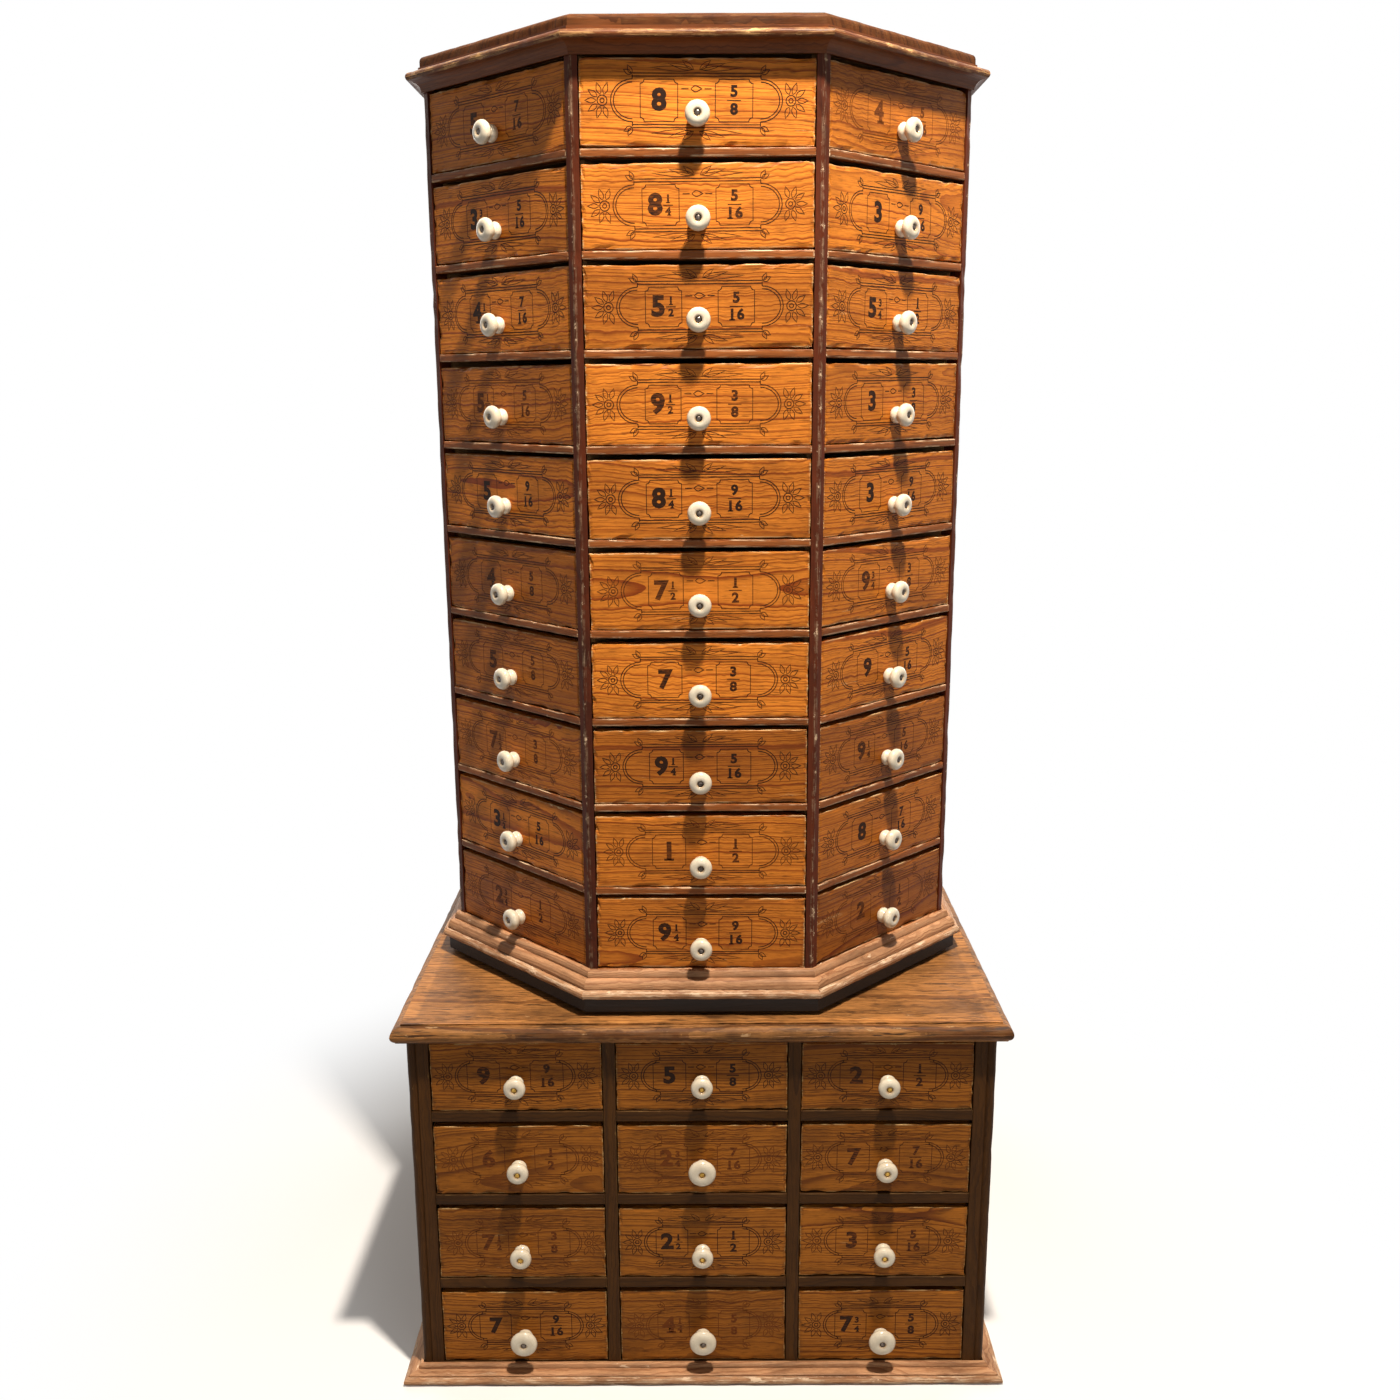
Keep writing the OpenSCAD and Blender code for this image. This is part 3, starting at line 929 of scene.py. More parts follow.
    def _take(self, shape: bmesh.types.BMesh, place: Matrix, cut: Cut) -> None:
        """Write grain and tone on a finished shape, place it and add it to the stack.

        Args:
            shape: Board in its own frame.
            place: Matrix from there to the row frame.
            cut: How the wood is cut and aged.
        """
        grain = shape.verts.layers.float_vector.new("grain")
        tone = shape.verts.layers.float.new("tone")
        depth = self.chance.choice((-1, 1)) * self.chance.uniform(12.0, 50.0)
        pith = Vector((self.chance.uniform(-4000.0, 4000.0), self.chance.uniform(-95.0, 95.0), depth))
        for vert in shape.verts:
            vert[grain] = vert.co + pith
            vert[tone] = cut.tone
        for face in shape.faces:
            face.material_index = cut.slot
        add_placed(self.mesh, shape, place)

    def stand_for(self, node: str, body: str, slot: str, *materials: bpy.types.Material) -> None:
        """Make the stack a piece that rides on a body and replaces a CAD node.

        Args:
            node: CAD node that it stands for.
            body: CAD body that it rides on.
            slot: Slot of the part that it shows; not used.
            materials: Material of each of the mesh's own slots.
        """
        piece = make_piece(self.mesh, f"{node}.wood", body, materials)
        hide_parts(node)


def add_placed(target: bmesh.types.BMesh, shape: bmesh.types.BMesh, place: Matrix) -> None:
    """Place a shape, add it to a mesh and free it.

    Args:
        target: Mesh that takes the shape.
        shape: Geometry in its own frame.
        place: Matrix from there to the target's frame.
    """
    shape.transform(place)
    if place.determinant() < 0:
        bmesh.ops.reverse_faces(shape, faces=list(shape.faces))
    scratch = bpy.data.meshes.new("scratch")
    shape.to_mesh(scratch)
    shape.free()
    target.from_mesh(scratch)
    bpy.data.meshes.remove(scratch)


def make_piece(
    shape: bmesh.types.BMesh, name: str, body: str, materials: Sequence[bpy.types.Material]
) -> bpy.types.Object:
    """Turn a bmesh into a piece that rides on a body, and free the bmesh.

    Args:
        shape: Geometry in the row frame.
        name: Name of the piece.
        body: CAD body that it rides on.
        materials: Material of each slot.

    Returns:
        The piece.
    """
    mesh = bpy.data.meshes.new(name)
    shape.to_mesh(mesh)
    shape.free()
    for material in materials:
        mesh.materials.append(material)
    piece = bpy.data.objects.new(name, mesh)
    bpy.context.scene.collection.objects.link(piece)
    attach(piece, body)
    LOG.info("%s: %d faces on %s", name, len(mesh.polygons), body)
    return piece


@dataclass(frozen=True)
class Stroke:
    """One printed line: its points in millimetres, whether it is closed, and its share of the width."""

    points: Sequence[tuple[float, float]]
    closed: bool = True
    weight: float = 1.0


@dataclass
class Label:
    """Printed ornament of a drawer front: a framed field, two number boxes and two rosettes."""

    reach: float = 78.0
    line: float = 0.85
    field_half: float = 21.0
    line_gap: float = 2.3
    end_run: float = 25.0
    end_bulge: float = 18.0
    end_drop: float = 4.5
    box_at: float = 31.0
    box_half: tuple[float, float] = (15.5, 16.3)
    notch: float = 3.2
    ring: float = 4.1
    petal: float = 9.5
    emblem_at: float = 9.0
    numeral: float = 18.5
    small_numeral: float = 8.6
    fraction_aside: float = 4.6
    fraction_gap: float = 4.2
    bold: float = 0.045
    lift: float = 0.06
    glyphs: dict[str, bpy.types.Mesh] = field(default_factory=dict)
    lines: bpy.types.Mesh | None = None

    def strokes(self) -> list[Stroke]:
        """Draw the ornament.

        Returns:
            Its strokes.
        """
        made = []
        shoulder = self.reach - self.end_run
        steps = 14
        for side in (-1, 1):
            for inset in (0.0, self.line_gap):
                wide, high = self.end_bulge - inset, self.field_half - self.end_drop - inset
                turns = [math.radians(-90 + 180 * i / steps) for i in range(steps + 1)]
                end = [(side * (shoulder + wide * math.cos(a)), high * math.sin(a)) for a in turns]
                made.append(Stroke(end, False))
            for radius in (self.ring, self.ring * 0.42):
                made.append(Stroke(self.ring_points(side * self.reach, radius)))
            for turn in range(-108, 109, 36):
                rosette = (side * self.reach, 0)
                petal = self.leaf(rosette, self.mirrored(turn, side), self.ring + 0.9, self.petal, 1.9)
                made.append(Stroke(petal, weight=0.8))
            for up in (-1, 1):
                corner = (side * shoulder, up * (self.field_half - 1.0))
                made.append(Stroke([corner, (corner[0], up * (self.field_half - self.end_drop))], False))
                for lean in (28, 62):
                    leaf = self.leaf(corner, self.mirrored(lean * up, side), 0.8, 7.5, 1.7)
                    made.append(Stroke(leaf, weight=0.8))
            made.append(Stroke(self.notched(side * self.box_at)))
        for up in (-1, 1):
            for gap in (0.0, self.line_gap):
                level = up * (self.field_half - gap)
                made.append(Stroke([(-shoulder, level), (shoulder, level)], False))
            for side in (-1, 1):
                root = (side * 2.4, up * (self.field_half + 2.6))
                for lean, size in ((3, 36.0), (13, 22.0), (38, 12.0)):
                    leaf = self.leaf(root, self.mirrored(lean * up, side), 0.0, size, 1.8)
                    made.append(Stroke(leaf, weight=0.6))
        made.append(Stroke(self.leaf((-4.6, self.emblem_at), 0.0, 0.0, 9.2, 2.2)))
        for side in (-1, 1):
            made.append(Stroke([(side * x, self.emblem_at) for x in (6.5, 12.5)], False))
        return made

    @staticmethod
    def mirrored(degrees: float, side: int) -> float:
        """Give an angle in radians, mirrored for the left side."""
        return math.radians(degrees if side > 0 else 180 - degrees)

    @staticmethod
    def ring_points(x: float, radius: float) -> list[tuple[float, float]]:
        """Give the points of a ring around the label's middle line.

        Args:
            x: Place of its centre.
            radius: Its radius.

        Returns:
            The points of its outline.
        """
        steps = 14
        angles = [math.tau * i / steps for i in range(steps)]
        return [(x + radius * math.cos(a), radius * math.sin(a)) for a in angles]

    @staticmethod
    def leaf(
        root: tuple[float, float], angle: float, start: float, length: float, half: float
    ) -> list[tuple[float, float]]:
        """Give the outline of a pointed leaf.

        Args:
            root: Point that the leaf springs from.
            angle: Direction of the leaf.
            start: Distance of its foot from the root.
            length: Length of the leaf.
            half: Half its greatest width.

        Returns:
            The points of its outline.
        """
        along = Vector((math.cos(angle), math.sin(angle)))
        across = Vector((-along.y, along.x))
        steps = 6
        rise = [i / steps for i in range(steps + 1)]
        side = [half * math.sin(math.pi * t) * (1.5 - t) for t in rise]
        base = Vector(root) + along * start
        up = [base + along * (length * t) + across * w for t, w in zip(rise, side)]
        down = [base + along * (length * t) - across * w for t, w in zip(rise, side)]
        return [tuple(p) for p in up + down[-2:0:-1]]

    def notched(self, x: float) -> list[tuple[float, float]]:
        """Give the outline of a number box with hollowed corners.

        Args:
            x: Place of its middle.

        Returns:
            The points of its outline.
        """
        wide, high = self.box_half
        steps = 4
        points = []
        for sx, sy, start in ((1, 1, 270), (-1, 1, 0), (-1, -1, 90), (1, -1, 180)):
            for angle in (math.radians(start - 90 * i / steps) for i in range(steps + 1)):
                hollow = (self.notch * math.cos(angle), self.notch * math.sin(angle))
                points.append((x + sx * wide + hollow[0], sy * high + hollow[1]))
        return points

    def build(self) -> None:
        """Make the ornament's lines and the numerals as flat meshes in millimetres."""
        curve = bpy.data.curves.new("label", "CURVE")
        curve.dimensions = "3D"
        curve.twist_mode = "Z_UP"
        curve.extrude = self.line / 2
        for stroke in self.strokes():
            spline = curve.splines.new("POLY")
            spline.points.add(len(stroke.points) - 1)
            spline.use_cyclic_u = stroke.closed
            for target, (x, y) in zip(spline.points, stroke.points):
                target.co = (x, y, 0.0, 1.0)
                target.tilt = math.pi / 2
                target.radius = stroke.weight
        self.lines = self._flat(curve)
        for digit in "123456789":
            text = bpy.data.curves.new("numeral", "FONT")
            text.body = digit
            text.align_x = "CENTER"
            text.align_y = "CENTER"
            text.offset = self.bold
            text.resolution_u = 3
            self.glyphs[digit] = self._flat(text)

    @staticmethod
    def _flat(curve: bpy.types.Curve) -> bpy.types.Mesh:
        """Turn a curve or text into a flat mesh that faces +Z.

        Args:
            curve: The curve or text.

        Returns:
            The mesh.
        """
        made = bpy.data.objects.new("scratch", curve)
        bpy.context.scene.collection.objects.link(made)
        depsgraph = bpy.context.evaluated_depsgraph_get()
        mesh = bpy.data.meshes.new_from_object(made.evaluated_get(depsgraph))
        bpy.data.objects.remove(made)
        shape = bmesh.new()
        shape.from_mesh(mesh)
        bmesh.ops.remove_doubles(shape, verts=list(shape.verts), dist=1e-4)
        bmesh.ops.reverse_faces(shape, faces=[f for f in shape.faces if f.normal.z < 0])
        shape.to_mesh(mesh)
        shape.free()
        return mesh


@dataclass
class Print:
    """A label printed on one drawer front, whose middle is at the place."""

    label: Label
    ink: bmesh.types.BMesh
    place: Matrix
    fade: float

    def stamp(self, whole: str, part: str, gauge: str) -> None:
        """Print the ornament and its numbers.

        Args:
            whole: Whole number of the left box.
            part: Fraction beside it, or an empty string.
            gauge: Fraction of the right box.
        """
        label = self.label
        self.add(label.lines, Matrix.Identity(4))
        left = -label.box_at - (label.fraction_aside if part else 0.0)
        self.row(whole, left, 0.0, label.numeral)
        if part:
            right = left + 0.36 * label.numeral + label.fraction_gap
            self.fraction(part, right, label.small_numeral * 0.8)
        self.fraction(gauge, label.box_at, label.small_numeral * 1.12)

    def row(self, digits: str, x: float, y: float, height: float) -> None:
        """Print a row of numerals.

        Args:
            digits: The numerals.
            x: Middle of the row.
            y: Level of its middle.
            height: Height of the numerals.
        """
        step, slab, slab_w, drop = (share * height for share in (0.76, 0.12, 0.5, 0.42))
        size = Matrix.Diagonal((height * 1.3, height * 1.25, 1.0, 1.0))
        for i, digit in enumerate(digits):
            at = x + (i - (len(digits) - 1) / 2) * step
            self.add(self.label.glyphs[digit], Matrix.Translation((at, y, 0.0)) @ size)
            if digit in "14":
                stem = at + (slab if digit == "4" else 0.0)
                self.bar(stem, y - drop, slab_w, slab)

    def fraction(self, part: str, x: float, height: float) -> None:
        """Print one number over another with a bar between.

        Args:
            part: The two numbers with a slash between.
            x: Middle of the fraction.
            height: Height of its numerals.
        """
        apart = 0.72 * height
        over, under = part.split("/")
        self.row(over, x, apart, height)
        self.row(under, x, -apart, height)
        self.bar(x, 0.0, height * 1.2, self.label.line)

    def bar(self, x: float, y: float, wide: float, high: float) -> None:
        """Print a level bar.

        Args:
            x: Middle of the bar.
            y: Level of its middle.
            wide: Its width.
            high: Its height.
        """
        shape = bmesh.new()
        bmesh.ops.create_grid(shape, x_segments=1, y_segments=1, size=0.5)
        bmesh.ops.scale(shape, vec=(wide, high, 1.0), verts=list(shape.verts))
        bmesh.ops.translate(shape, vec=(x, y, 0.0), verts=list(shape.verts))
        self._take(shape)

    def add(self, mesh: bpy.types.Mesh, local: Matrix) -> None:
        """Print a flat mesh.

        Args:
            mesh: The mesh.
            local: Matrix from there to the front.
        """
        shape = bmesh.new()
        shape.from_mesh(mesh)
        shape.transform(local)
        self._take(shape)

    def _take(self, shape: bmesh.types.BMesh) -> None:
        """Add a flat shape to the ink, with its place on its own front as its grain.

        Args:
            shape: Geometry in the front's frame.
        """
        grain = shape.verts.layers.float_vector.new("grain")
        tone = shape.verts.layers.float.new("tone")
        spread = 10.0
        shift = self.place.translation * spread / MM
        for vert in shape.verts:
            vert[grain] = vert.co + Vector((shift.x + shift.z, shift.z, 0.0))
            vert[tone] = self.fade
        add_placed(self.ink, shape, self.place)


@dataclass
class Knob:
    """Porcelain knob on its screw, with its foot on the drawer front and its axis along Z."""

    length: float = 18.5
    foot_r: float = 7.75
    foot_round: float = 3.7
    waist_r: float = 5.75
    waist_at: float = 8.8
    waist_half: float = 0.8
    neck_at: float = 10.0
    head_at: float = 14.0
    head_band: float = 0.3
    bore_r: float = 2.7
    bore_depth: float = 1.6
    screw_depth: float = 1.5
    segments: int = 28

    def outline(self, head_r: float) -> list[Point]:
        """Draw half the knob's section, out being its radius and up its distance from the drawer.

        Args:
            head_r: Radius of the knob's head.

        Returns:
            The points, with their distance from a hollow that holds grime as rub.
        """
        clean, steps = 4.0, 7
        swell = (self.foot_r - self.foot_round, self.foot_round)
        foot = arc(swell, self.foot_round, -70, 62, clean, steps)
        waist = [
            Point(self.waist_r + 0.15, self.waist_at - self.waist_half, 1.0),
            Point(self.waist_r, self.waist_at, 0.6),
            Point(self.waist_r + 0.5, self.waist_at + self.waist_half, 1.2),
        ]
        neck = (self.waist_r + 1.6, self.neck_at)
        under = quarter((head_r, self.head_at), neck, clean, steps)[::-1]
        rim = (head_r, self.head_at + self.head_band)
        front = quarter(rim, (head_r * 0.5, self.length), clean, steps)
        dish = [
            Point(self.bore_r + 1.4, self.length - 0.1, 1.6),
            Point(self.bore_r + 0.3, self.length - 0.5, 0.2),
            Point(self.bore_r, self.length - self.bore_depth, 0.0),
        ]
        return [Point(self.foot_r - 3.0, 0.1, 0.5), *foot, *waist, *under, *front, *dish]

    def add(self, shape: bmesh.types.BMesh, place: Matrix, head_r: float, metal_slot: int) -> None:
        """Turn the knob and its screw end and add them to a mesh.

        Args:
            shape: Mesh that takes the knob.
            place: Matrix from the knob's foot to the row frame.
            head_r: Radius of the knob's head.
            metal_slot: Material slot of the screw.
        """
        self._turn(shape, self.outline(head_r), place, 0)
        tip = self.length - self.screw_depth
        dome = [
            Point(self.bore_r + 0.2, tip - 1.0),
            Point(self.bore_r - 0.2, tip),
            Point(self.bore_r * 0.75, tip + 0.6),
            Point(self.bore_r * 0.4, tip + 0.95),
            Point(0.0, tip + 1.05),
        ]
        self._turn(shape, dome, place, metal_slot)

    def _turn(self, target: bmesh.types.BMesh, outline: Sequence[Point], place: Matrix, slot: int) -> None:
        """Spin an outline about Z and add it to a mesh.

        Args:
            target: Mesh that takes the turned shape.
            outline: Half its section.
            place: Matrix from its foot to the row frame.
            slot: Its material slot.
        """
        shape = bmesh.new()
        edge = shape.verts.layers.float.new("edge")
        verts = [shape.verts.new((p.out, 0.0, p.up)) for p in outline]
        for vert, point in zip(verts, outline):
            vert[edge] = point.rub
        edges = [shape.edges.new(pair) for pair in zip(verts, verts[1:])]
        bmesh.ops.spin(
            shape, geom=verts + edges, cent=(0, 0, 0), axis=(0, 0, 1), angle=math.tau,
            steps=self.segments, use_merge=True,
        )
        bmesh.ops.remove_doubles(shape, verts=list(shape.verts), dist=1e-4)
        bmesh.ops.recalc_face_normals(shape, faces=list(shape.faces))
        for face in shape.faces:
            face.material_index = slot
            face.smooth = True
        add_placed(target, shape, place)


@dataclass
class DrawerSize:
    """Sizes shared by every drawer, and how far age has put its front out of true."""

    front_t: float = 12.0
    side_t: float = 6.0
    bottom_t: float = 4.0
    bottom_rise: float = 2.0
    side_drop: float = 12.0
    glue: float = 0.1
    askew_deg: float = 0.4
    top_wear: tuple[float, float] = (0.8, 2.0)
    slip: float = 1.5
    fade: float = 0.15


@dataclass
class DrawerSet:
    """One or more drawers that move together, with their fronts, boxes, knobs and print."""

    node: str
    finishes: Finishes
    front: bpy.types.Material
    metal: bpy.types.Material
    label: Label
    seed: int
    knob: Knob = field(default_factory=Knob)
    size: DrawerSize = field(default_factory=DrawerSize)
    timber: Timber = field(init=False)
    knobs: bmesh.types.BMesh = field(init=False)
    ink: bmesh.types.BMesh = field(init=False)
    chance: random.Random = field(init=False)

    def __post_init__(self) -> None:
        """Start the set's empty meshes."""
        self.timber = Timber(self.seed)
        self.knobs = bmesh.new()
        self.ink = bmesh.new()
        self.chance = random.Random(self.seed + 5)

    def add_front(
        self, place: Matrix, width: float, height: float, tone: float, rise: float, head_r: float
    ) -> None:
        """Add a drawer front with its knob and print.

        Args:
            place: Matrix from the middle of the front's outer face to the row frame.
            width: Width of the front.
            height: Height of the front.
            tone: Darkness of the front.
            rise: Height of the knob's axis above the front's lower edge.
            head_r: Radius of the knob's head.
        """
        size, chance = self.size, self.chance
        # Each front hangs a little askew, lifted so that it clears the rail under it
        tilt = math.radians(chance.uniform(-size.askew_deg, size.askew_deg))
        lift = abs(math.sin(tilt)) * width / 2
        place = place @ Matrix.Translation((0, lift, 0)) @ Matrix.Rotation(tilt, 4, "Z")
        cut = Cut(ease=0.9, border=4.5, steps=30, end_steps=12, ragged=1.7, tone=tone)
        # Years of sliding have worn the top edge down
        worn = chance.uniform(*size.top_wear)
        middle = place @ Matrix.Translation((0, -worn / 2, -size.front_t / 2))
        self.timber.board(Vector((width, height - worn, size.front_t)), middle, cut)
        foot = place @ Matrix.Translation((0, rise - height / 2, 0))
        self.knob.add(self.knobs, foot, head_r, 1)
        whole = str(chance.randint(1, 9))
        part = chance.choice(("", "", "1/4", "1/2", "3/4"))
        gauge = chance.choice(("1/4", "5/16", "3/8", "7/16", "1/2", "9/16", "5/8"))
        slip = chance.uniform(-size.slip, size.slip)
        fade = chance.uniform(-size.fade, size.fade)
        stamped = place @ Matrix.Translation((slip, -0.4 * slip, self.label.lift))
        Print(self.label, self.ink, stamped, fade).stamp(whole, part, gauge)

    def bare_cut(self) -> Cut:
        """Give the cut of a box's bare boards, with the box's own tone."""
        return Cut(ease=0.5, border=3.0, tone=self.chance.uniform(0.0, 0.3), slot=1)

    def finish(self) -> None:
        """Make the set's pieces, riding on its body and standing for its CAD node."""
        slot = "drawer_wood"
        self.timber.stand_for(self.node, self.node, slot, self.front, self.finishes.bare)
        for shape, name, materials in (
            (self.knobs, "knob", (self.finishes.porcelain, self.metal)),
            (self.ink, "print", (self.finishes.ink,)),
        ):
            make_piece(shape, f"{self.node}.{name}", self.node, materials)


def dress(node: str, finish: bpy.types.Material) -> None:
    """Give a CAD node a finish."""
    materials = frame["nodes"][node].data.materials
    materials.clear()
    materials.append(finish)


@dataclass
class Carousel:
    """The eight-sided revolving part: posts, rails, cap, skirt and its drawers."""

    finishes: Finishes
    post_face: float = 6.5
    post_depth: float = 13.0
    post_round: float = 2.2
    rail_t: float = 7.0
    partition_t: float = 8.0
    partition_gap: float = 1.5
    glue: float = 0.1
    front_inset: float = 1.0
    drawer_back: float = 76.0
    knob_rise: float = 23.4
    knob_r: float = 10.5
    # Darkness of a front: its level, what each row adds as painted shade darker towards the bottom, and its
    # random spread; the front-right face has its own darker set as painted shade
    front_tone: tuple[float, float, float] = (0.06, 0.01, 0.16)
    shaded_tone: tuple[float, float, float] = (0.2, 0.03, 0.1)
    darkest: float = 0.62
    apothem: float = field(init=False)

    def __post_init__(self) -> None:
        """Read the body's size from the frame."""
        self.apothem = corner_mm("corner_posts")[1].x

    def build(self) -> None:
        """Build the carcass and every drawer."""
        self.posts()
        self.rails()
        self.cap()
        self.skirt()
        label = Label()
        label.build()
        for face in Face:
            self.drawers(face, label)
        dress("shelf_boards", self.finishes.inside)
        # The bottom board takes a near-black finish as painted shade under the skirt
        dress("carousel_bottom", self.finishes.underside)

    def posts(self) -> None:
        """Build the corner posts, round and chipped on their outer edges."""
        low, high = corner_mm("corner_posts")
        lean = TURN / 2
        corner = self.apothem / math.cos(lean)
        edge = (corner - self.post_face * math.sin(lean), self.post_face * math.cos(lean))
        inner = (edge[0] - self.post_depth * math.cos(lean), edge[1] - self.post_depth * math.sin(lean))
        tip = corner - self.post_round / math.cos(lean)
        swing = math.degrees(lean)
        outline = [
            Point(inner[0], -inner[1]),
            Point(edge[0], -edge[1], 2.5),
            *arc((tip, 0.0), self.post_round, -swing, swing, 0.0, 4),
            Point(edge[0], edge[1], 2.5),
            Point(*inner),
        ]
        timber = Timber(11)
        for face in Face:
            angle = TURN * face + lean
            across = (math.sin(angle), -math.cos(angle))
            outward = (math.cos(angle), math.sin(angle))
            place = post_place(across, outward, (0, 0, (low.z + high.z) / 2))
            cut = Cut(steps=70, ragged=1.1, tone=timber.chance.uniform(0.0, 0.3))
            timber.length(outline, (high.z - low.z) / 2, (0.0, 0.0), place, cut)
        timber.stand_for("corner_posts", "carousel", "frame_wood", self.finishes.frame)

    def rails(self) -> None:
        """Build the rails along the shelves' edges."""
        width = 2 * (self.apothem * MITRE - self.post_face - self.glue)
        low, high = corner_mm("front_rails")
        pitch = corner_mm("drawer_front_01")[0].z - corner_mm("drawer_front_02")[0].z
        timber = Timber(12)
        for face in Face:
            for level in range(ROWS + 1):
                bottom = low.z + level * pitch
                top = high.z if level == ROWS else bottom + self.rail_t
                place = face_place(TURN * face, self.apothem - self.post_depth / 2, (bottom + top) / 2)
                cut = Cut(ease=0.9, border=3.0, steps=14, ragged=0.5, tone=timber.chance.uniform(0.0, 0.35))
                timber.board(Vector((width, top - bottom, self.post_depth)), place, cut)
        timber.stand_for("front_rails", "carousel", "frame_wood", self.finishes.rail)

    def surround(self, seed: int, outline: Sequence[Point], height: float, cut: Cut) -> Timber:
        """Lay mitred strips of a moulding round the eight sides.

        Args:
            seed: Seed of the strips' chance.
            outline: Section of the moulding, out from the sides.
            height: Height of its foot.
            cut: How the wood is cut and aged.

        Returns:
            The strips.
        """
        strips = Timber(seed)
        for face in Face:
            place = face_place(TURN * face, self.apothem, height)
            strips.length(outline, self.apothem * MITRE, (-MITRE, MITRE), place, cut)
        return strips

    def cap(self) -> None:
        """Build the top board and the cornice under it."""
        low, high = corner_mm("top_board")
        thick, over = high.z - low.z, high.x
        round_r = 5.0
        edge = [Point(over, 0.0, 2.0), *arc((over - round_r, thick - round_r), round_r, 0, 90, 0.6)]
        board = Timber(13)
        board.slab(SIDES, edge, flat_place(0, 0, low.z), Cut(steps=24, ragged=0.8))
        board.stand_for("top_board", "carousel", "frame_wood", self.finishes.top)

        low, high = corner_mm("cornice_moulding")
        tall, out = high.z - low.z, high.x - self.apothem
        nose_r, ledge, neck, lip, cove = 4.0, 2.5, 3.5, 1.5, 50
        bend = math.radians(cove)
        nose = (out - nose_r, tall - ledge - 1.5 * nose_r)
        under = (nose[0] + nose_r * math.cos(bend), nose[1] - nose_r * math.sin(bend))
        outline = [
            Point(0.0, 0.0), *quarter((lip, 0.0), under, 5.0), *arc(nose, nose_r, 0.5 - cove, 80, 0.8),
            Point(neck, tall - ledge, 4.0), Point(neck, tall, 4.0), Point(0.0, tall),
        ]
        strips = self.surround(14, outline, low.z, Cut(steps=26, ragged=0.7, tone=0.1))
        strips.stand_for("cornice_moulding", "carousel", "frame_wood", self.finishes.cap)

    def skirt(self) -> None:
        """Build the moulding at the carousel's foot, rubbed pale on its nose."""
        low, high = corner_mm("skirt_moulding")
        outline = nosed_outline(high.z - low.z, high.x - self.apothem, 4.5, 6.0)
        back = high.z - low.z - self.rail_t
        outline += [Point(0.0, back), Point(-self.post_depth, back), Point(-self.post_depth, 0.0)]
        strips = self.surround(15, outline, low.z, Cut(steps=30, ragged=1.0, tone=0.05))
        strips.stand_for("skirt_moulding", "carousel", "moulding_wood", self.finishes.moulding)

    def wedge_half(self, distance: float, margin: float) -> float:
        """Give the half width of a wedge drawer at a distance from the axis, less a margin."""
        return distance * MITRE - margin / math.cos(TURN / 2)

    def drawers(self, face: Face, label: Label) -> None:
        """Build the ten drawers of a face, one by one or as one set.

        Args:
            face: Face of the carousel.
            label: Print of the fronts.
        """
        name = face.name.lower()
        group = None
        for row in range(1, ROWS + 1):
            seed = 100 * (face + 1) + row
            if face.single or group is None:
                node = f"drawer_{name}_{row:02d}" if face.single else f"drawers_{name}"
                wood, metal = self.finishes.front, self.finishes.steel
                group = DrawerSet(node, self.finishes, wood, metal, label, seed)
            self.wedge_drawer(group, face, row)
            if face.single or row == ROWS:
                group.finish()

    def wedge_drawer(self, group: DrawerSet, face: Face, row: int) -> None:
        """Add one wedge-shaped drawer to a set.

        Args:
            group: Set that takes the drawer.
            face: Face of the carousel.
            row: Row counted from the top.
        """
        low, high = corner_mm(f"drawer_front_{row:02d}")
        size = group.size
        height = high.z - low.z
        outer_face = self.apothem - self.front_inset
        # Fronts darken row by row downwards, and the front-right face more, as painted shade; the spread is
        # each front's own random tone
        level, painted_row_shade, spread = self.shaded_tone if face is Face.FRONTRIGHT else self.front_tone
        tone = min(self.darkest, max(0.0, group.chance.gauss(level + painted_row_shade * row, spread)))
        front = face_place(TURN * face, outer_face, (low.z + high.z) / 2)
        group.add_front(front, high.x - low.x, height, tone, self.knob_rise, self.knob_r)

        tall = height - size.side_drop
        near = self.drawer_back
        far = outer_face - size.front_t - size.glue
        middle = (near + far) / 2
        margin = self.partition_t / 2 + self.partition_gap
        bare = group.bare_cut()
        base = face_place(TURN * face, 0.0, low.z)
        lean = TURN / 2
        for side in (-1, 1):
            thick = side * size.side_t
            wall = [Point(0, 0), Point(thick, 0), Point(thick, tall), Point(0, tall)]
            run = Matrix.Translation((side * self.wedge_half(middle, margin), 0, middle))
            turn = Matrix.Rotation(side * lean - math.pi / 2, 4, "Y")
            half = (far - near) / 2 / math.cos(lean)
            group.timber.length(wall, half, (-side * MITRE, -side * MITRE), base @ run @ turn, bare)
        inner = margin + size.side_t + size.glue
        under, over = size.bottom_rise, size.bottom_rise + size.bottom_t
        inmost, outmost = near - middle + size.side_t, far - middle
        floor = [Point(inmost, under), Point(outmost, under), Point(outmost, over), Point(inmost, over)]
        lay = base @ Matrix.Translation((0, 0, middle))
        group.timber.length(floor, self.wedge_half(middle, inner), (-MITRE, MITRE), lay, bare)
        back = Matrix.Translation((0, tall / 2, near + size.side_t / 2))
        group.timber.board(
            Vector((2 * self.wedge_half(near, inner), tall, size.side_t)), base @ back, bare
        )


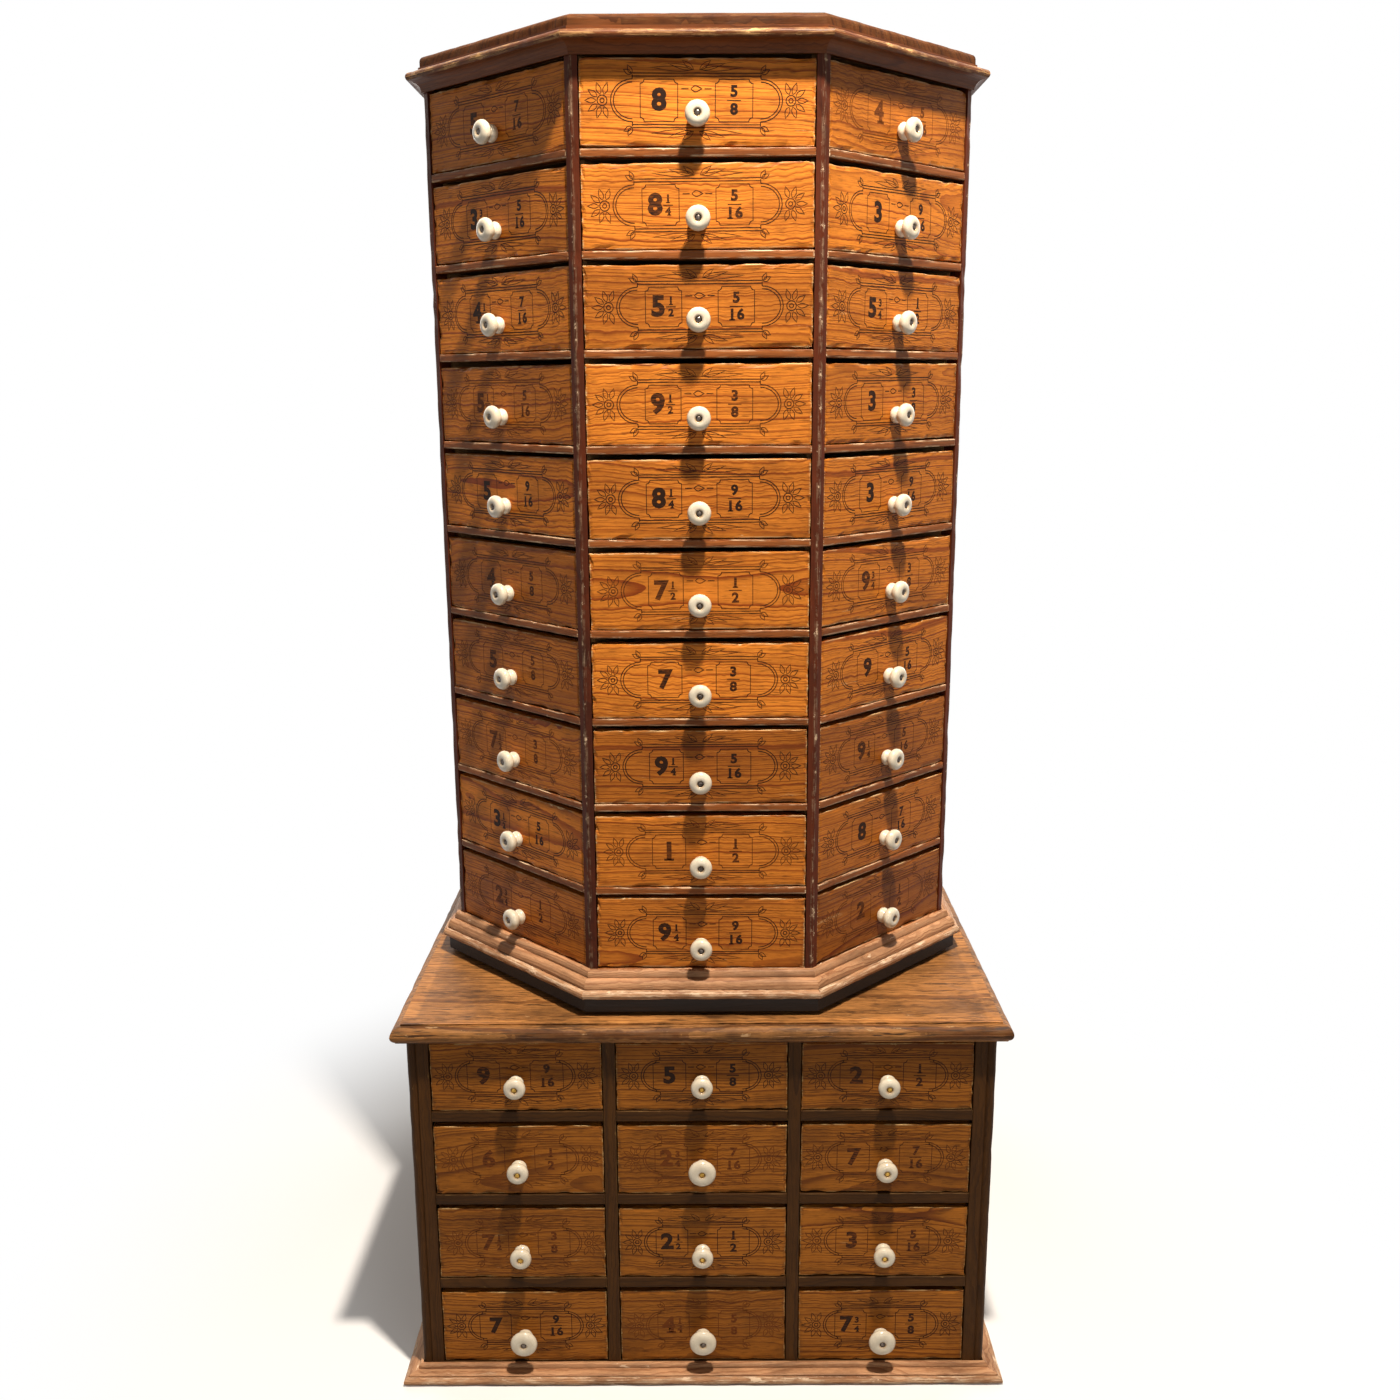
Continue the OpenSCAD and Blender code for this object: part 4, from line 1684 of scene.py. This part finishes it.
def nosed_outline(height: float, out: float, nose_r: float, fillet: float) -> list[Point]:
    """Draw the section shared by the skirt and the plinth: a nose, an ovolo and a fillet.

    Args:
        height: Height of the moulding.
        out: Its projection.
        nose_r: Radius of the nose.
        fillet: Size of the small round at its top.

    Returns:
        The points from the inner lower corner round to the inner upper corner.
    """
    groove = 0.8
    nose_x = out - nose_r
    shoulder = height - fillet - groove
    return [
        Point(0.0, 0.0),
        *arc((nose_x, nose_r), nose_r, -90, 90, 0.4),
        Point(nose_x - 2 * groove, 2 * nose_r, 6.0),
        Point(nose_x - 2 * groove, 2 * nose_r + groove, 6.0),
        *quarter((nose_x - groove / 2, 2 * nose_r + groove), (fillet + groove, shoulder), 2.2),
        Point(fillet - groove, shoulder, 6.0),
        Point(fillet - groove, height - fillet, 6.0),
        *quarter((fillet, height - fillet), (fillet / 2, height), 1.6),
        Point(0.0, height, 4.0),
    ]


@dataclass
class Base:
    """The square base: top, frame, case, plinth and its twelve drawers."""

    finishes: Finishes
    post_w: float = 21.0
    bead: float = 5.0
    frame_d: float = 22.0
    stile_w: float = 12.0
    panel_t: float = 14.0
    planks: int = 3
    seam: float = 0.05
    glue: float = 0.1
    floor_t: float = 15.4
    rail_h: float = 10.8
    dust_t: float = 8.0
    side_gap: float = 0.7
    slide_gap: float = 0.3
    front_inset: float = 1.0
    drawer_depth: float = 480.0
    knob_rise: float = 30.0
    knob_r: float = 10.5
    large_knob_r: float = 13.25
    odd_knob: tuple[str, int] = ("middle", 2)
    front_tone: tuple[float, float] = (0.23, 0.13)
    darkest: float = 0.5
    columns: tuple[str, ...] = ("left", "middle", "right")
    rows: int = 4
    half: float = field(init=False)
    height: float = field(init=False)

    def __post_init__(self) -> None:
        """Read the base's size from the frame."""
        _, high = corner_mm("base_frame")
        self.half = high.x
        self.height = high.z

    def build(self) -> None:
        """Build the base and every drawer in it."""
        self.top()
        self.front_frame()
        self.case()
        self.plinth()
        label = Label(reach=64.0, box_at=30.0)
        label.build()
        for column in self.columns:
            for row in range(1, self.rows + 1):
                self.drawer(column, row, label)

    def top(self) -> None:
        """Build the top with its thumbnail edge."""
        low, high = corner_mm("base_top")
        thick, out = high.z - low.z, high.x
        step, nose_depth, nose_h = 1.5, 9.0, 8.0
        edge = [
            Point(out - nose_depth / 2, 0.0, 5.0),
            *arc((out - nose_h, nose_h), nose_h, -60, 0, 2.0),
            *quarter((out, nose_h + 0.1), (out - nose_depth, thick - step), 0.8),
            Point(out - nose_depth, thick, 1.4),
        ]
        timber = Timber(21)
        timber.slab(4, edge, flat_place(0, 0, low.z), Cut(steps=40, ragged=0.9))
        timber.stand_for("base_top", "base", "moulding_wood", self.finishes.honey)

    def bay(self, column: str) -> tuple[float, float]:
        """Give the left and right of a column's opening."""
        low, high = corner_mm(f"base_drawer_{column}_1")
        return low.x - self.side_gap, high.x + self.side_gap

    def levels(self) -> list[float]:
        """Give the height that each row's drawers slide on, from the top row down."""
        feet = [corner_mm(f"base_drawer_left_{row}")[0].z for row in range(1, self.rows + 1)]
        return [foot - self.slide_gap for foot in feet]

    def front_frame(self) -> None:
        """Build the beaded posts, stiles and rails of the front."""
        timber = Timber(22)
        wide, deep, bead = self.post_w, self.frame_d, self.bead
        outline = [
            Point(-deep, wide),
            Point(-deep, 0.0),
            Point(-2 * bead, 0.0, 3.0),
            *arc((-bead, bead), bead, 225, 405, 1.0, 8),
            Point(0.0, 2 * bead, 3.0),
            Point(0.0, wide - 0.5, 1.2),
            Point(-0.5, wide, 1.2),
        ]
        ahead = (0, -1)
        for side in (-1, 1):
            place = post_place((-side, 0), ahead, (side * self.half, -self.half, self.height / 2))
            cut = Cut(steps=30, ragged=0.7, tone=0.1)
            timber.length(outline, self.height / 2, (0, 0), place, cut)
        depth = self.half - deep / 2
        tall = self.height - self.floor_t
        for column in self.columns[:-1]:
            middle = (self.bay(column)[1] + self.stile_w / 2, -depth, self.floor_t + tall / 2)
            cut = Cut(steps=24, ragged=0.5, tone=0.15)
            timber.board(Vector((tall, self.stile_w, deep)), post_place((-1, 0), ahead, middle), cut)
        for column in self.columns:
            left, right = self.bay(column)
            for level in self.levels()[:-1]:
                place = face_place(0.0, depth, level - self.rail_h / 2, (left + right) / 2)
                cut = Cut(steps=10, ragged=0.5, tone=timber.chance.uniform(0.1, 0.4))
                timber.board(Vector((right - left - 2 * self.glue, self.rail_h, deep)), place, cut)
        size = Vector((2 * (self.half - wide - self.glue), self.floor_t - self.glue, deep))
        timber.board(size, face_place(0.0, depth, self.floor_t / 2), Cut(tone=0.3))
        timber.stand_for("base_frame", "base", "base_wood", self.finishes.base_frame)

    def case(self) -> None:
        """Build the sides, back, floor, dividers and dust boards."""
        outside, inside = Timber(23), Timber(24)
        deep = 2 * self.half - self.frame_d
        inner = self.half - self.panel_t - self.glue
        shift = self.frame_d / 2
        tall = self.height / self.planks
        for angle, along, wide, tones in (
            (-math.pi / 2, -shift, deep, (0.0, 0.3)),
            (math.pi / 2, shift, deep, (0.0, 0.3)),
            (math.pi, 0.0, 2 * inner, (0.1, 0.4)),
        ):
            for i in range(self.planks):
                place = face_place(angle, self.half - self.panel_t / 2, tall * (i + 0.5), along)
                cut = Cut(ease=0.6, steps=16, ragged=0.4, tone=outside.chance.uniform(*tones))
                outside.board(Vector((wide, tall - self.seam, self.panel_t)), place, cut)
        outside.stand_for("base_case", "base", "base_wood", self.finishes.panel)

        board_d = deep - self.panel_t - self.glue
        centre_y = self.frame_d - self.half + board_d / 2
        floor_t = self.floor_t - self.glue
        inside.board(Vector((2 * inner, board_d, floor_t)), flat_place(0, centre_y, floor_t / 2))
        upright = self.height - self.floor_t
        for column in self.columns[:-1]:
            divider = self.bay(column)[1] + self.stile_w / 2
            place = face_place(math.pi / 2, divider, self.floor_t + upright / 2, centre_y)
            inside.board(Vector((board_d, upright, self.stile_w)), place)
        for column in self.columns:
            left, right = self.bay(column)
            left = -inner if column == self.columns[0] else left + self.glue
            right = inner if column == self.columns[-1] else right - self.glue
            for level in self.levels()[:-1]:
                place = flat_place((left + right) / 2, centre_y, level - self.dust_t / 2)
                inside.board(Vector((right - left, board_d, self.dust_t)), place)
        piece = make_piece(inside.mesh, "base_case.inside", "base", (self.finishes.bare,))

    def plinth(self) -> None:
        """Build the moulding round the base's foot."""
        low, high = corner_mm("plinth_moulding")
        outline = nosed_outline(high.z - low.z, high.x - self.half, 4.0, 4.0)
        timber = Timber(25)
        for i in range(4):
            place = face_place(math.pi / 2 * i, self.half, low.z)
            timber.length(outline, self.half, (-1.0, 1.0), place, Cut(steps=40, ragged=0.9))
        timber.stand_for("plinth_moulding", "base", "moulding_wood", self.finishes.moulding)

    def drawer(self, column: str, row: int, label: Label) -> None:
        """Build one drawer of the base.

        Args:
            column: Name of its column.
            row: Row counted from the top.
            label: Print of the fronts.
        """
        node = f"base_drawer_{column}_{row}"
        low, high = corner_mm(node)
        metal = self.finishes.steel if row == self.rows else self.finishes.brass
        seed = 2000 + 10 * self.columns.index(column) + row
        group = DrawerSet(node, self.finishes, self.finishes.dark_front, metal, label, seed)
        size = group.size
        width, height = high.x - low.x, high.z - low.z
        centre = (low.x + high.x) / 2
        place = face_place(0.0, self.half - self.front_inset, (low.z + high.z) / 2, centre)
        tone = min(self.darkest, max(0.0, group.chance.gauss(*self.front_tone)))
        large = row == self.rows or (column, row) == self.odd_knob
        head_r = self.large_knob_r if large else self.knob_r
        group.add_front(place, width, height, tone, self.knob_rise, head_r)

        bare = group.bare_cut()
        tall = height - size.side_drop
        middle_z = low.z + tall / 2
        box_half = width / 2 - self.side_gap
        front_y = self.front_inset - self.half + size.front_t + size.glue
        back_y = self.front_inset - self.half + self.drawer_depth
        for side in (-1, 1):
            wall_x = centre + side * (box_half - size.side_t / 2)
            wall = face_place(math.pi / 2, wall_x, middle_z, (front_y + back_y) / 2)
            group.timber.board(Vector((back_y - front_y, tall, size.side_t)), wall, bare)
        inner = 2 * (box_half - size.side_t - size.glue)
        back = face_place(0.0, size.side_t / 2 - back_y, middle_z, centre)
        group.timber.board(Vector((inner, tall, size.side_t)), back, bare)
        floor_back = back_y - size.side_t - size.glue
        floor_z = low.z + size.bottom_rise + size.bottom_t / 2
        floor = flat_place(centre, (front_y + floor_back) / 2, floor_z)
        group.timber.board(Vector((inner, floor_back - front_y, size.bottom_t)), floor, bare)
        group.finish()


@dataclass(frozen=True)
class Lamp:
    """A square soft light: its place and aim in metres, its side, power and colour."""

    name: str
    place: tuple[float, float, float]
    aim: tuple[float, float, float]
    size: float
    watts: float
    tint: str = "#FFF8EE"

    def hang(self) -> None:
        """Hang the light."""
        data = bpy.data.lights.new(self.name, "AREA")
        data.size = self.size
        data.energy = self.watts
        data.color = linear(self.tint)[:3]
        light = bpy.data.objects.new(self.name, data)
        light.location = self.place
        light.rotation_euler = (Vector(self.aim) - Vector(self.place)).to_track_quat("-Z", "Y").to_euler()
        bpy.context.scene.collection.objects.link(light)


@dataclass
class Studio:
    """Camera, lights, floor and white surroundings."""

    camera_mm: tuple[float, float, float] = (2.3, -1466.3, 964.9)
    pitch_deg: float = 12.91
    yaw_deg: float = -0.114
    roll_deg: float = -0.262
    lens_mm: float = 35.24
    sensor_mm: float = 36.0
    lamps: tuple[Lamp, ...] = (
        Lamp("key", (0.21, -0.78, 2.3), (0.0, -0.27, 0.8), 0.09, 66.0, "#FFF4E6"),
        Lamp("fill", (0.5, -3.2, 1.2), (0.0, -0.2, 0.6), 1.6, 9.5),
        Lamp("right", (2.1, 2.3, 1.9), (0.0, 0.0, 0.7), 2.4, 44.0),
        Lamp("left", (-1.8, 2.4, 2.0), (0.0, 0.0, 0.7), 2.4, 44.0),
    )
    floor_half: float = 30.0
    # Distances from the axis at which the floor starts to fade and is white, in metres
    floor_fade: tuple[float, float] = (0.34, 0.8)
    floor_pale: float = 0.86
    floor_bounce: float = 0.4
    surround_light: float = 0.09

    def build(self) -> None:
        """Set the camera, the lights, the floor and the world."""
        scene = bpy.context.scene
        scene.view_settings.view_transform = "Standard"
        self.camera(scene)
        for lamp in self.lamps:
            lamp.hang()
        self.floor()
        self.world(scene)

    def camera(self, scene: bpy.types.Scene) -> None:
        """Place the camera where the photograph was taken from.

        Args:
            scene: Scene that it looks at.
        """
        data = bpy.data.cameras.new("camera")
        data.lens = self.lens_mm
        data.sensor_width = self.sensor_mm
        camera = bpy.data.objects.new("camera", data)
        scene.collection.objects.link(camera)
        pitch, yaw, roll = (math.radians(a) for a in (self.pitch_deg, self.yaw_deg, self.roll_deg))
        ahead = math.cos(pitch)
        forward = Vector((math.sin(yaw) * ahead, math.cos(yaw) * ahead, -math.sin(pitch)))
        level = Vector((math.cos(yaw), -math.sin(yaw), 0.0))
        upward = level.cross(forward)
        right = math.cos(roll) * level + math.sin(roll) * upward
        up = math.cos(roll) * upward - math.sin(roll) * level
        turn = Matrix((right, up, -forward)).transposed().to_4x4()
        camera.matrix_world = Matrix.Translation(Vector(self.camera_mm) * MM) @ turn
        scene.camera = camera

    def floor(self) -> None:
        """Lay a pale floor that fades into the white surroundings."""
        shape = bmesh.new()
        bmesh.ops.create_grid(shape, x_segments=1, y_segments=1, size=self.floor_half)
        mesh = bpy.data.meshes.new("floor")
        shape.to_mesh(mesh)
        shape.free()
        s = Shader(bpy.data.materials.new("pale studio floor"))
        place = s.add("TexCoord").outputs["Object"]
        away = s.add("VectorMath", {0: place}, operation="LENGTH").outputs["Value"]
        start, white_at = self.floor_fade
        fade = s.add(
            "MapRange", {"Value": away, "From Min": start, "From Max": white_at},
            interpolation_type="SMOOTHSTEP",
        )
        seen = s.seen()
        share = s.add("Math", {0: fade, 1: seen}, operation="MULTIPLY")
        # The floor throws little light back up at the cabinet
        pale = s.add("MapRange", {"Value": seen, "To Min": self.floor_bounce, "To Max": self.floor_pale})
        plain = s.add("BsdfDiffuse", {"Color": pale})
        white = s.add("Emission", {"Color": linear("#FFFFFF"), "Strength": 1.0})
        both = s.add("MixShader", {0: share, 1: plain, 2: white})
        mesh.materials.append(s.finish(both))
        ground = bpy.data.objects.new("floor", mesh)
        bpy.context.scene.collection.objects.link(ground)

    def world(self, scene: bpy.types.Scene) -> None:
        """Make the surroundings white to the eye and a soft light to the object.

        Args:
            scene: Scene that they surround.
        """
        s = Shader(bpy.data.worlds.new("studio"))
        level = s.add("MapRange", {"Value": s.seen(), "To Min": self.surround_light})
        ground = s.add("Background", {"Color": linear("#FFFFFF"), "Strength": level})
        scene.world = s.finish(ground, "OutputWorld")


def main() -> None:
    """Build the cabinet's looks and its studio."""
    logging.basicConfig(level=logging.INFO, format="%(name)s: %(message)s")
    finishes = Finishes.make()
    Carousel(finishes).build()
    Base(finishes).build()
    for node in ("bearing_balls", "bearing_lower_race"):
        dress(node, finishes.bearing)
    Studio().build()


if __name__ == "__main__":
    main()
